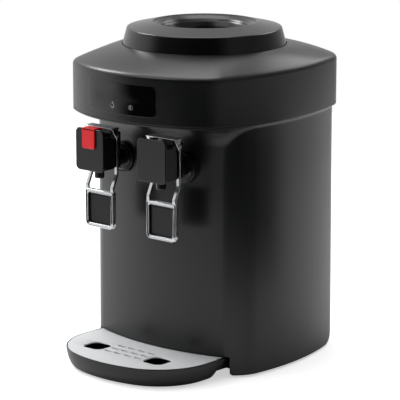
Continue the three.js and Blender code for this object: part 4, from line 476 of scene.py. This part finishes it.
def box_outline(low_x, high_x, low_z, high_z, radius, spread=24, corner_steps=6):
    """A rounded rectangle with extra points along its two long edges."""
    turn = np.linspace(0, np.pi / 2, corner_steps + 1)
    arc = np.stack([np.cos(turn), np.sin(turn)], 1) * radius
    quarters = []
    left, right = low_x + radius, high_x - radius
    for i, (x, z, c, s) in enumerate([(right, high_z - radius, 1, 0), (left, high_z - radius, 0, 1),
                                      (left, low_z + radius, -1, 0), (right, low_z + radius, 0, -1)]):
        quarters.append(arc @ np.array([[c, s], [-s, c]]) + [x, z])
        if i % 2 == 0:
            ends = ((right, high_z), (left, high_z)) if i == 0 else ((left, low_z), (right, low_z))
            quarters.append(np.linspace(*ends, spread + 1)[1:-1])
    return np.vstack(quarters)


def window_skin():
    """Rounded rectangles drawn in one inside the other to a line along the middle, bent on
    to the head's bow: a bevel, a flat face and a hidden back."""
    low, high, half_width, corner = 340.6, 379.8, 57.0, 5.4
    half_height = (high - low) / 2
    rings = []
    for inset, out in ((0.6, -1.3), (0.0, -1.3), (0.0, 0.15), (0.12, 0.4), (0.45, face_out),
                       (0.9, face_out), (4.0, face_out), (9.0, face_out),
                       (half_height - 0.02, face_out)):
        edge = box_outline(-half_width + inset, half_width - inset, low + inset, high - inset,
                           max(corner - inset, 0.015))
        rings.append(np.stack([edge[:, 0], on_head(edge[:, 0], out), edge[:, 1]], 1))
    return skin(np.stack(rings))


def symbol_skin(outline, x, z):
    """A flat printed shape that lies on the window's face."""
    flat = outline + [x, z]
    layers = [np.stack([flat[:, 0], on_head(flat[:, 0], out), flat[:, 1]], 1)
              for out in (ink_low, ink_high)]
    return skin(np.stack(layers))


def flame(scale):
    """A drop with a pointed, bent tip: a circle whose upper half is pulled up and inwards by
    the fifth power of its height."""
    t = np.linspace(0, 2 * np.pi, 36, endpoint=False)
    pull = np.maximum(np.sin(t), 0) ** 5
    return np.stack([np.cos(t) * (1 - 0.75 * pull) * 0.78 + 0.12 * pull,
                     np.sin(t) * 0.72 + 0.55 * pull - 0.12], 1) * scale


def line_skin(outline, share, x, z):
    """A printed line of even look: the band between an outline and the same outline drawn
    to a share of its size."""
    rings = []
    for scale, out in ((1, ink_low), (1, ink_high), (share, ink_high), (share, ink_low)):
        flat = outline * scale + [x, z]
        rings.append(np.stack([flat[:, 0], on_head(flat[:, 0], out), flat[:, 1]], 1))
    return skin(np.stack(rings), closed=True)


def snow_arms(x, z, scale):
    """Three crossed bars, each with a short pair of branches at both ends."""
    bar = np.array([(-1, -0.1), (1, -0.1), (1, 0.1), (-1, 0.1)])
    twig_half, twig_lean, fork = 0.19, 0.75, 0.62
    turn = lambda a: np.array([[np.cos(a), np.sin(a)], [-np.sin(a), np.cos(a)]])
    shapes = []
    for a in np.pi / 2 + np.arange(3) * np.pi / 3:
        shapes.append((bar @ turn(a)) * scale)
        for end in (-1, 1):
            for side in (-1, 1):
                twig = (bar * [twig_half, 1] + [twig_half * end, 0]) @ turn(side * twig_lean)
                shapes.append(((twig + [fork * end, 0]) @ turn(a)) * scale)
    return [symbol_skin(shape, x, z) for shape in shapes]


add_piece("display_window", [window_skin()], "cooler", smoked_acrylic,
          ["display_panel"], 30)
for name, x in lamp_places.items():
    lens = turned(rounded([(0, 0), (3, 0), (3, 4), (0, 4)], [0, 0.3, 0, 0]),
                  (x, float(on_head(x, face_out + 0.02)), lamp_z), "y", 40)
    add_piece(f"{name}_lamp_lens", [lens], "cooler", smoked_acrylic, [f"{name}_lens"])
    hot_line = line_skin(flame(flame_size), flame_line, x, lamp_z)
    symbol = [hot_line] if name == "hot" else snow_arms(x, lamp_z, snow_size)
    add_piece(f"{name}_symbol", symbol, "cooler", grey_ink)

# Bottle seat: a polished conical collar of ABS lifts out with the satin funnel that takes the
# bottle's neck and with the feed probe that opens the bottle's cap.

# Polished ABS shows bright soft bands, satin ABS wider ones, and acetal is milky white.
polished_abs = moulded("polished black ABS", "#0c0c0d", "#121213", 0.24, grain=0.6, depth=0.002)
satin_abs = moulded("satin black ABS", "#0b0b0c", "#101011", 0.27, grain=0.6, depth=0.002)
white_acetal = moulded("natural acetal", "#d5d6d0", "#e2e2dc", 0.4, grain=0.8, depth=0.008)
seat_axis = (0, seat_y, 0)
collar_top = crown_z + 28.0
collar_corner = crown_z + 21.0
collar_profile = rounded([
    (106.4, crown_z - 2.2), (106.0, crown_z + 0.4), (100.4, collar_corner),
    (68.2, collar_top), (66.0, collar_top - 0.5), (66.0, collar_top - 3.4), (70.0, collar_top - 3.4),
    (97.8, collar_corner - 2.6), (103.6, crown_z - 2.2)],
    [0, 4, 2.6, 1.6, 0.3, 0, 0, 0, 0], steps=6)
add_piece("bottle_collar_turned", [turned(collar_profile, seat_axis, "z", 160)], "bottle_seat",
          polished_abs, ["bottle_collar"])
bowl_rim = collar_top - 0.7
bowl_floor = collar_top - 53.0
bowl = np.array([(62.0, 1.5), (57.5, 4.2), (53.8, 8.2), (51.0, 13.6), (48.6, 20.5), (44.6, 27.6),
                 (38.0, 33.6), (31.5, 37.4), (30, 41)]) * [1, -1] + [0, bowl_rim]
bowl_back = bowl[::-1][:-1] + [2.2, -1.2]
bowl_profile = rounded(np.vstack([
    [(65.6, bowl_rim)], bowl, [(30, bowl_floor), (8.3, bowl_floor)],
    [(8.3, bowl_floor - 2), (32, bowl_floor - 2)], bowl_back, [(65.6, bowl_rim - 3.4)]]),
    [0.4, 4] + [7] * 7 + [2, 2, 0.3, 0.3, 2] + [0] * 9, steps=5)
add_piece("funnel_bowl_turned", [turned(bowl_profile, seat_axis, "z", 120)], "bottle_seat",
          satin_abs, ["funnel_bowl"])
dress(white_acetal, "feed_probe")

# Taps: glass-filled nylon bodies with a square satin face, an open top for the plunger and a
# short neck that is nutted through the casing, with a bevelled washer and a nozzle.
face_y = pad_y - 58.2
face_half = 24.25
face_low, face_high = 259.5, 314.3
block_low = 262.5


def slab(outline, low, high, edge, along, steps=3):
    """An outline carried from low to high with round edges: each ring is the outline drawn
    in by 1 less the sine of the edge's arc, and one more ring holds each end's flat face."""
    outline = np.asarray(outline, float)
    ahead = np.roll(outline, -1, 0) - outline
    ahead = ahead / np.maximum(np.linalg.norm(ahead, axis=1)[:, None], 1e-9)
    normal = np.stack([ahead[:, 1], -ahead[:, 0]], 1)
    mitre = normal + np.roll(normal, 1, 0)
    mitre = mitre / np.maximum((mitre * normal).sum(1), 0.3)[:, None]  # short at spikes
    after = np.roll(outline, -1, 0)
    mitre = mitre * np.sign(np.sum(outline[:, 0] * after[:, 1] - outline[:, 1] * after[:, 0]))
    a = np.linspace(0, np.pi / 2, steps + 1)
    rim = edge * 1.5
    held = min(rim, (high - low) * 0.49)  # just short of the middle of a thin plate
    drawn_in = edge * (1 - np.sin(a))
    inset = np.concatenate([[rim], drawn_in, [0, 0], drawn_in[::-1], [rim]])
    level = np.concatenate([[low], low + edge * (1 - np.cos(a)), [low + held, high - held],
                            high - edge * (1 - np.cos(a[::-1])), [high]])
    flat = outline[None] - mitre[None] * inset[:, None, None]
    rings = np.concatenate([flat, np.broadcast_to(level[:, None, None], flat[..., :1].shape)], -1)
    return skin(rings[..., {"x": [2, 0, 1], "y": [0, 2, 1], "z": [0, 1, 2]}[along]])


def rectangle(low_u, high_u, low_v, high_v, radii, steps=6):
    """A rectangle's outline with rounded corners, from its lower left."""
    return rounded([(low_u, low_v), (high_u, low_v), (high_u, high_v), (low_u, high_v)], radii, steps)


def moved(skins, x):
    """Skins drawn about x = 0, set at their own place across the front."""
    return [(points + [x, 0, 0], faces) for points, faces in skins]


def tap_skins(with_lock):
    """The square face, two cheeks with a sloped rear shoulder, the floor between them, the
    rear block and the turned neck. The hot tap's face has a notch for its lock."""
    back = face_y + 3
    rear = face_y + 21.9
    wall_top = face_high - 10.3
    corner = 6.5
    if with_lock:
        notch_half, notch = 11.5, face_high - 5.4
        outline = rounded([(-face_half, face_low), (face_half, face_low), (face_half, face_high),
                           (notch_half, face_high), (notch_half, notch), (-notch_half, notch),
                           (-notch_half, face_high), (-face_half, face_high)],
                          [corner, corner, corner, 0, 0, 0, 0, corner], 6)
    else:
        outline = rectangle(-face_half, face_half, face_low, face_high, corner)
    cheek = rounded([(back - 1.5, block_low), (rear, block_low), (rear, wall_top - 8),
                     (rear - 4, wall_top), (back - 1.5, wall_top)], [0, 2, 1.5, 1.5, 0])
    floor = rectangle(-18.5, 18.5, block_low, 290.0, 0.5)
    block = rectangle(-19, 19, block_low, face_high - 6.3, [0, 0, 2, 2])
    skins = [slab(outline, face_y, back, 0.8, "y")]
    skins += [slab(cheek, low, low + 5.9, 0.6, "x") for low in (-23.9, 18.0)]
    skins.append(slab(floor, back - 1, rear - 0.5, 0.3, "y"))
    skins.append(slab(block, rear - 3, rear + 16.8, 1.2, "y"))
    neck = rounded([(0, 0), (10, 0), (10, 18), (8, 18), (8, 44), (0, 44)], [0, 0.5, 0.5, 0, 0.5, 0])
    skins.append(turned(neck, (0, rear + 14, tap_z), "y", 48))
    return skins


washer_profile = rounded([(8.3, 0), (15.2, 0), (16.5, 1.3), (16.5, 2.2), (8.3, 2.2)],
                         [0.2, 0.5, 0.4, 0.1, 0.1])
nozzle_profile = rounded([(4.2, 0), (5.6, 0), (6.4, 1.8), (6.4, 14), (5, 14), (5, 20.3), (4.2, 20.3)],
                         [0.3, 0.4, 0.4, 0.1, 0, 0.2, 0.1])
nozzle_z = 248.2
for name, x in (("hot", -tap_x), ("cold", tap_x)):
    washer = turned(washer_profile, (x, pad_y - 2.5, tap_z), "y", 96)
    nozzle = turned(nozzle_profile, (x, face_y + 18.2, nozzle_z), "z", 64)
    add_piece(f"{name}_tap_moulding", moved(tap_skins(name == "hot"), x), "cooler",
              glass_filled_nylon, [f"{name}_tap_body"])
    add_piece(f"{name}_washer_turned", [washer], "cooler", polished_pa,
              [f"{name}_tap_washer"])
    add_piece(f"{name}_nozzle_turned", [nozzle], "cooler", polished_pa,
              [f"{name}_nozzle"])

# Levers: one strip of steel, pressed, bent into a top plate, two cranked arms and a frame,
# then bright chrome plated. It swings on a pin through the tap's cheeks, and the frame holds
# a black pad that a cup pushes back.

# Chrome plate mirrors the studio, light beside dark. Its faint waves of 4 mm are the
# buffing under it. Pad rubber is a soft black with a low sheen.
bright_chrome = moulded("bright chrome plate", "#d2d4d6", "#dcdddf", 0.2, grain=4, depth=0.003,
                        Metallic=1.0)
pad_rubber = moulded("moulded pad rubber", "#0f1012", "#17181a", 0.4, grain=0.8, depth=0.01, IOR=1.4)
plate_z = face_high + 0.7
pin_y, pin_z = face_y + 26.9, 304.5
lever_half = 24.3
frame_low, frame_high = 182.5, 231.8
frame_bar = 4.9


def loop_skin(outer, inner, low, high, edge):
    """A flat bar bent into a closed frame: a rounded section between paired points of an
    outer and an inner outline."""
    a = np.linspace(0, np.pi / 2, 4)
    rise, fall = edge * (1 - np.cos(a)), edge * (1 - np.sin(a))
    span = np.linalg.norm(inner - outer, axis=1)[:, None]
    section_u = np.concatenate([fall + 0 * span, span - rise, span - fall, rise + 0 * span], 1)
    section_w = np.concatenate([low + rise, low + fall, high - rise, high - fall])
    flat = outer[:, None] + (inner - outer)[:, None] / span[:, None] * section_u[..., None]
    depth = np.broadcast_to(section_w[None, :, None], flat[..., :1].shape)
    return skin(np.concatenate([flat, depth], -1)[..., [0, 2, 1]], closed=True)


def lever_skins():
    """The top plate, two flat arms cranked forward to the pad's frame, each with the eye for
    the pin on its outer edge, and the frame itself."""
    arm, loop, strip = face_y + 25.2, face_y + 16.4, 3.0
    arm_width, eye_width = 5.0, 1.6
    plate = slab(rectangle(-lever_half, lever_half, face_y + 16.2, face_y + 31.2, [1.5] * 4),
                 plate_z - 2.2, plate_z, 0.8, "z")
    side = rounded([(loop + 1, frame_high - 3), (loop + 1 + strip, frame_high - 3),
                    (loop + 1 + strip, 236.5), (arm + strip, 253), (arm + strip, plate_z - 0.5),
                    (face_y + 18, plate_z - 0.5), (face_y + 18, plate_z - 3.6), (arm, plate_z - 15),
                    (arm, 254), (loop + 1, 237.5)], [0, 0, 4, 4, 1.2, 0, 0, 5, 4, 4])
    eye = rounded([(arm - 1.6, pin_z - 3.5), (arm + 4.2, pin_z - 3.5), (arm + 4.2, pin_z + 3.5),
                   (arm - 1.6, pin_z + 3.5)], 2.6)
    arms = [slab(side, low, low + arm_width, 0.5, "x") for low in (-lever_half, lever_half - arm_width)]
    arms += [slab(eye, low, low + eye_width, 0.4, "x") for low in (-lever_half, lever_half - eye_width)]
    outer = rectangle(-lever_half, lever_half, frame_low, frame_high, [7, 7, 2, 2], 8)
    inner = rectangle(frame_bar - lever_half, lever_half - frame_bar, frame_low + frame_bar,
                      frame_high - frame_bar, [2.6, 2.6, 2, 2], 8)
    return [plate, *arms, loop_skin(outer, inner, loop, loop + 7.2, 1.3)]


def pad_skins():
    """A pad tucked behind the frame's inner edge, with a raised field inside its border."""
    front = face_y + 19.9
    within = lambda tuck, radii: rectangle(tuck - lever_half, lever_half - tuck, frame_low + tuck,
                                           frame_high - tuck, radii, 6)
    return [slab(within(frame_bar - 0.4, [3, 3, 2, 2]), front, front + 4.5, 0.6, "y"),
            slab(within(frame_bar + 2.4, 2.6), front - 0.6, front + 2, 0.5, "y")]


pin_profile = rounded([(0, -25.1), (2.6, -25.1), (2.6, -24.1), (1.8, -24.1), (1.8, 24.1), (2.6, 24.1),
                       (2.6, 25.1), (0, 25.1)], [0, 0.5, 0.1, 0, 0, 0.1, 0.5, 0])
for name, x in (("hot", -tap_x), ("cold", tap_x)):
    body = f"{name}_lever_body"
    add_piece(f"{name}_lever_pressing", moved(lever_skins(), x), body, bright_chrome,
              [f"{name}_lever"])
    add_piece(f"{name}_pad_moulding", moved(pad_skins(), x), body, pad_rubber,
              [f"{name}_paddle_pad"])
    add_piece(f"{name}_pin_turned", [turned(pin_profile, (x, pin_y, pin_z), "x", 32)], body,
              drawn_steel, [f"{name}_lever_pin"])
    dress(drawn_steel, f"{name}_valve_spring")

# Hot lock: a hooked tab of red ABS over the hot tap's face, pushed down against a small
# spring before the lever will move.

# Satin red ABS is a full, even red with a broad soft highlight.
red_abs = moulded("satin red ABS", "#fb101c", "#fc2630", 0.35, grain=0.6, depth=0.004)
lock_half = 10.7
lock_top = face_high + 1.2
lock_front = face_y - 2.5
lock_tab = rectangle(-lock_half, lock_half, lock_top - 26.6, lock_top, [3.2, 3.2, 1.2, 1.2])
lock_cap = rectangle(-lock_half, lock_half, lock_front, face_y + 12.9, [0, 0, 2, 2])
lock_hook = rectangle(-lock_half, lock_half, lock_top - 14.7, lock_top - 2, 1.0)
lock_skins = [slab(lock_tab, lock_front, face_y - 0.3, 0.6, "y"),
              slab(lock_cap, lock_top - 3.2, lock_top, 0.9, "z"),
              slab(lock_hook, face_y + 3.3, face_y + 5.5, 0.4, "y")]
add_piece("hot_lock_moulding", moved(lock_skins, -tap_x), "hot_lock_body", red_abs,
          ["hot_lock"])

# Drip tray: a shallow ABS basin with a bowed front that rounds in under itself. An open
# tongue behind it slides into the bay at the casing's foot.
tray_half, tray_bow, tray_corner = 108.4, 188.0, 80.3
tray_front = body_front_y - 101.4
tray_top, tray_low = 26.5, 1.5
basin_rear = tray_front + 112.3
tongue_rear = basin_rear + 39.7
tongue_low = 11.5
curl_width, curl_power = 10.0, 3.17
rear_corner = 6.0
ledge_width, ledge_z = 4.4, tray_top - 1.8
basin_floor = 3.7
outer_end, inner_end = 0.96, 0.97


def tray_outline(inset, rear):
    """The outline drawn in by an inset: a bowed front, two wide corners, straight sides and
    two small rear corners."""
    corner_x = tray_half - tray_corner
    centre_y = tray_front + tray_bow
    corner_y = centre_y - np.sqrt((tray_bow - tray_corner) ** 2 - corner_x ** 2)
    turn = np.arctan2(corner_y - centre_y, corner_x)
    arc = lambda x, y, r, a, b, n: np.array([x, y]) + r * np.stack(
        [np.cos(np.linspace(a, b, n)), np.sin(np.linspace(a, b, n))], 1)
    side = tray_half - inset
    right = np.vstack([
        arc(0, centre_y, tray_bow - inset, -np.pi / 2, turn, 14),
        arc(corner_x, corner_y, tray_corner - inset, turn, 0, 22)[1:],
        np.linspace((side, corner_y), (side, rear - rear_corner), 6)[1:-1],
        arc(side - rear_corner, rear - rear_corner, rear_corner, 0, np.pi / 2, 6),
        np.linspace((side - rear_corner, rear), (0, rear), 6)[1:]])
    return np.vstack([right, right[-2:0:-1] * [-1, 1]])


def basin_skin():
    """A cup: the wall's section is a superellipse of power 2 / 3.17, a cosine and a sine both
    raised to 3.17, and stops just short of the rim. Inside the rim a rebate and a ledge hold
    the grille."""
    rings = []

    def ring(inset, z):
        """One ring of the section: the outline drawn in by the inset, at its height."""
        outline = tray_outline(inset, basin_rear - inset)
        rings.append(np.hstack([outline, np.full((len(outline), 1), z)]))

    t = np.linspace(0, np.pi / 2, 15)
    drawn_in, up = curl_width * np.cos(t) ** curl_power, np.sin(t) ** curl_power
    ring(curl_width + 2, tray_low)
    for i, u in zip(drawn_in, up):
        ring(i, tray_low + (tray_top - tray_low) * min(u, outer_end))
    for inset, down in ((0, 0.8), (0.25, 0.2), (0.7, 0), (1.2, 0), (1.5, 0.3)):
        ring(inset, tray_top - down)
    ring(1.6, ledge_z)
    ring(ledge_width, ledge_z)
    for i, u in zip(drawn_in[::-1], up[::-1]):
        ring(ledge_width + i, basin_floor + (ledge_z - basin_floor) * min(u, inner_end))
    return skin(np.stack(rings))


def tongue_skins():
    """A deck that follows the casing's foot, with two cheeks of the basin's section and a
    rear wall below it."""
    right, out = plan_row(body_plan[:2], (24, 20))
    edge = both_sides(right + out * (draft + 0.5))
    edge_half, deck_rear = tray_half - 4.5, tongue_rear - 1
    edge = edge[np.abs(edge[:, 0]) < edge_half]
    deck = np.vstack([edge, [(edge_half, edge[-1, 1] + 2), (tray_half - 0.3, deck_rear),
                             (0.3 - tray_half, deck_rear), (-edge_half, edge[0, 1] + 2)]])
    top = slab(deck, tray_top - 3.9, tray_top - 0.05, 0.2, "z")
    up = np.linspace((tongue_low - tray_low) / (tray_top - tray_low), outer_end, 10)
    drawn_in = curl_width * (1 - up ** (2 / curl_power)) ** (curl_power / 2)
    wall_z = tray_low + (tray_top - tray_low) * up
    outside = np.vstack([np.stack([tray_half - drawn_in, wall_z], 1), [(tray_half - 0.7, tray_top)]])
    cheek = np.vstack([outside, (outside - [2.4, 0])[::-1]])
    rear = rectangle(1 - tray_half, tray_half - 1, tongue_low, tray_top - 0.1, 0.8)
    return [top, slab(cheek, basin_rear - 7, tongue_rear, 0.3, "y"),
            slab(cheek[::-1] * [-1, 1], basin_rear - 7, tongue_rear, 0.3, "y"),
            slab(rear, tongue_rear - 2.2, tongue_rear, 0.4, "y")]


add_piece("drip_tray_moulding", [basin_skin(), *tongue_skins()], "drip_tray_body", grained_abs,
          ["drip_tray"])

# Drip grille: a steel plate, stamped with two drain holes and three rows of slots whose rims
# are rolled down, then lacquered silver and laid in the tray's rebate.

# Silver lacquer over fine lines spreads the light to an even near white.
silver_plate = moulded("lacquered silver plate", "#e2e4e6", "#e9ebec", 0.5, grain=0.5, depth=0.006,
                       stretch=(0.03, 1, 1))
hole_y = tray_front + 52.3
hole_x = 52.5
slot_places = [((column - 1.5) * 17.3, tray_front + 43.5 + row * 13.3)
               for row in range(3) for column in range(4)]


def plate_mesh():
    """The plate as a filled flat curve with its openings, 0.7 mm thick between round edges of
    0.4 mm, turned into a mesh. Its rear edge follows the casing's foot, where that lies in
    front of the tray's own outline."""
    right, out = plan_row(body_plan[:2], (24, 20))
    behind = both_sides(right + out * (draft + 0.3))
    front = tray_outline(1.9, tongue_rear)
    limit = np.interp(front[:, 0], behind[:, 0], behind[:, 1], left=1e3, right=1e3)
    front = front[front[:, 1] < limit]
    cut = front[np.argsort(np.arctan2(front[:, 0], -(front[:, 1] + 100)))]
    behind = behind[np.abs(behind[:, 0]) < np.abs(cut[:, 0]).max() - 0.4]
    outline = np.vstack([cut, behind[::-1]])
    # Each opening is cut wider than its rolled rim's inside, so that the rim covers the cut.
    holes = [rectangle(x - 17, x + 17, hole_y - 16.4, hole_y + 16.4, 11, 8) for x in (-hole_x, hole_x)]
    holes += [rectangle(x - 6.2, x + 6.2, y - 3.2, y + 3.2, 3.1, 5) for x, y in slot_places]
    curve = bpy.data.curves.new("grille outline", "CURVE")
    curve.dimensions, curve.fill_mode = "2D", "BOTH"
    curve.extrude, curve.bevel_depth, curve.bevel_resolution = 0.00035, 0.0004, 2
    curve.offset = -0.0004
    for points in (outline, *holes):
        spline = curve.splines.new("POLY")
        spline.points.add(len(points) - 1)
        places = np.hstack([points / 1000, np.tile([0, 1], (len(points), 1))])
        spline.points.foreach_set("co", places.ravel())
        spline.use_cyclic_u = True
    holder = bpy.data.objects.new("grille outline", curve)
    bpy.context.scene.collection.objects.link(holder)
    bpy.context.view_layer.update()
    mesh = bpy.data.meshes.new_from_object(holder)
    bpy.data.objects.remove(holder)
    points = np.array([v.co for v in mesh.vertices]) * 1000 + [0, 0, tray_top - 0.75]
    return points, [list(p.vertices) for p in mesh.polygons]


def rolled_edge(x, y, half_x, half_y, corner, deep, width=1.0, raised=0.1):
    """The turned-down rim of an opening: a rolled section, whose crest is raised and whose
    foot lies deep below the plate, carried round a rounded rectangle."""
    section = rounded([(3.2, -0.1), (2.3, raised), (1.2, raised), (0.1, raised - 0.8), (-0.1, -deep),
                       (0.5, -deep), (1.2, -1.2), (3.2, -1.3)],
                      [0.3, 0.6, 0.9, 0.6, 0.2, 0.2, 0.4, 0.3], 3) * [width, 1]
    rings = []
    for grow, z in section:
        edge = rectangle(x - half_x - grow, x + half_x + grow, y - half_y - grow, y + half_y + grow,
                         corner + grow, 8)
        rings.append(np.hstack([edge, np.full((len(edge), 1), tray_top + z)]))
    return skin(np.stack(rings), closed=True)


edges = [rolled_edge(x, hole_y, 15.2, 14.6, 9.2, 1.7) for x in (-hole_x, hole_x)]
edges += [rolled_edge(x, y, 5.0, 2.0, 1.9, 1.9, width=0.5, raised=0.5) for x, y in slot_places]
add_piece("drip_grille_plate", [plate_mesh(), *edges], "drip_grille_body", silver_plate,
          ["drip_grille"], 30)

# Studio: a round white table under a white sky that darkens towards the front, where the
# camera stands, with soft panels to the left, in front, behind and overhead.
table_radius = 1.7
around = np.linspace(0, 2 * np.pi, 96, endpoint=False)
disc = np.stack([np.cos(around), np.sin(around), 0 * around], 1) * table_radius + [0.36, 0.4, 0]
table_mesh = bpy.data.meshes.new("table")
table_mesh.from_pydata(disc, [], [range(len(disc))])
table = bpy.data.objects.new("table", table_mesh)
bpy.context.scene.collection.objects.link(table)

# Matt white paint holds the cooler's shadow, and a glow that only the camera sees lifts the
# table to the white of the sky.
white_table = bpy.data.materials.new("white table")
white_table.use_nodes = True
white_table.node_tree.nodes.clear()
seen = add_node(white_table, "ShaderNodeLightPath")
paint = add_node(white_table, "ShaderNodeBsdfDiffuse", {"Color": linear("#f4f4f4")})
lift = add_node(white_table, "ShaderNodeMath", {
    0: seen.outputs["Is Camera Ray"], 1: 0.55}, operation="MULTIPLY")
glow = add_node(white_table, "ShaderNodeEmission", {"Color": (1, 1, 1, 1), "Strength": lift.outputs[0]})
lit = add_node(white_table, "ShaderNodeAddShader", {0: paint.outputs[0], 1: glow.outputs[0]})
add_node(white_table, "ShaderNodeOutputMaterial", {"Surface": lit.outputs[0]})
table_mesh.materials.append(white_table)

# A curved black card, seen only in reflections, stands right of the camera and draws the
# dark band down the front corner. Its flock gives back next to no light.
card_radius, card_height = 0.62, 0.225
turn = np.radians(np.linspace(-78, 39, 30))
card_foot = np.stack([np.cos(turn), np.sin(turn), 0 * turn], 1) * card_radius
first = np.arange(len(turn) - 1)
card_faces = np.stack([first, first + 1, first + 1 + len(turn), first + len(turn)], 1)
card_mesh = bpy.data.meshes.new("black card")
card_mesh.from_pydata(np.vstack([card_foot, card_foot + [0, 0, card_height]]), [], card_faces.tolist())
card = bpy.data.objects.new("black card", card_mesh)
bpy.context.scene.collection.objects.link(card)
card.visible_camera = card.visible_diffuse = card.visible_shadow = False
black_flock = bpy.data.materials.new("black flock")
black_flock.use_nodes = True
black_flock.node_tree.nodes.clear()
flock = add_node(black_flock, "ShaderNodeBsdfDiffuse", {"Color": linear("#0a0a0a")})
add_node(black_flock, "ShaderNodeOutputMaterial", {"Surface": flock.outputs[0]})
card_mesh.materials.append(black_flock)

# The camera sees the sky as plain white. All else sees a share that falls to nearly nothing
# towards the front and drops evenly from the left to the right.
world = bpy.data.worlds.new("white studio")
bpy.context.scene.world = world
world.use_nodes = True
world.node_tree.nodes.clear()
ray = add_node(world, "ShaderNodeLightPath")
way = add_node(world, "ShaderNodeTexCoord").outputs["Generated"]
facing = add_node(world, "ShaderNodeVectorMath", {
    0: way, 1: (0.3, -0.95, 0.0)}, operation="DOT_PRODUCT")
dark_side = add_node(world, "ShaderNodeMapRange", {
    "Value": facing.outputs["Value"], "From Min": 0.36, "From Max": 0.68, "To Min": 1.0,
    "To Max": 0.02}, interpolation_type="SMOOTHSTEP")
across = add_node(world, "ShaderNodeVectorMath", {
    0: way, 1: (-0.39, -0.15, 0.0)}, operation="DOT_PRODUCT")
left_share = add_node(world, "ShaderNodeMath", {0: across.outputs["Value"], 1: 0.58}, operation="ADD")
studio = add_node(world, "ShaderNodeMath", {
    0: dark_side.outputs[0], 1: left_share.outputs[0]}, operation="MULTIPLY")
shown = add_node(world, "ShaderNodeMix", {
    0: ray.outputs["Is Camera Ray"], 2: studio.outputs[0], 3: 1.0})
sky = add_node(world, "ShaderNodeBackground", {"Color": (1, 1, 1, 1), "Strength": shown.outputs[0]})
add_node(world, "ShaderNodeOutputWorld", {"Surface": sky.outputs[0]})

for name, place, size, power in (("left panel", (-2.0, -0.2, 2.05), (0.9, 0.9), 30),
                                 ("back panel", (0.3, 2.0, 1.8), (1.6, 1.0), 14),
                                 ("front panel", (-0.6, -1.6, 2.3), (1.6, 1.2), 10),
                                 ("overhead panel", (-0.4, 0.3, 2.4), (1.6, 1.6), 22)):
    lamp = bpy.data.lights.new(name, "AREA")
    lamp.shape, lamp.size, lamp.size_y, lamp.energy = "RECTANGLE", *size, power
    holder = bpy.data.objects.new(name, lamp)
    holder.location = place
    towards = Vector((0, 0.05, 0.22)) - Vector(place)
    holder.rotation_euler = towards.to_track_quat("-Z", "Y").to_euler()
    bpy.context.scene.collection.objects.link(holder)

# Camera: a long lens at the photograph's place, to the right and a little above the head.
lens = bpy.data.cameras.new("camera")
lens.lens, lens.sensor_width = 210.06, 36.0
camera = bpy.data.objects.new("camera", lens)
camera.location = (1.9773, -2.2285, 0.873)
towards = Vector((-0.0179, 0.0342, 0.19815)) - camera.location
camera.rotation_euler = towards.to_track_quat("-Z", "Y").to_euler()
bpy.context.scene.collection.objects.link(camera)
bpy.context.scene.camera = camera
bpy.context.scene.view_settings.view_transform = "Standard"
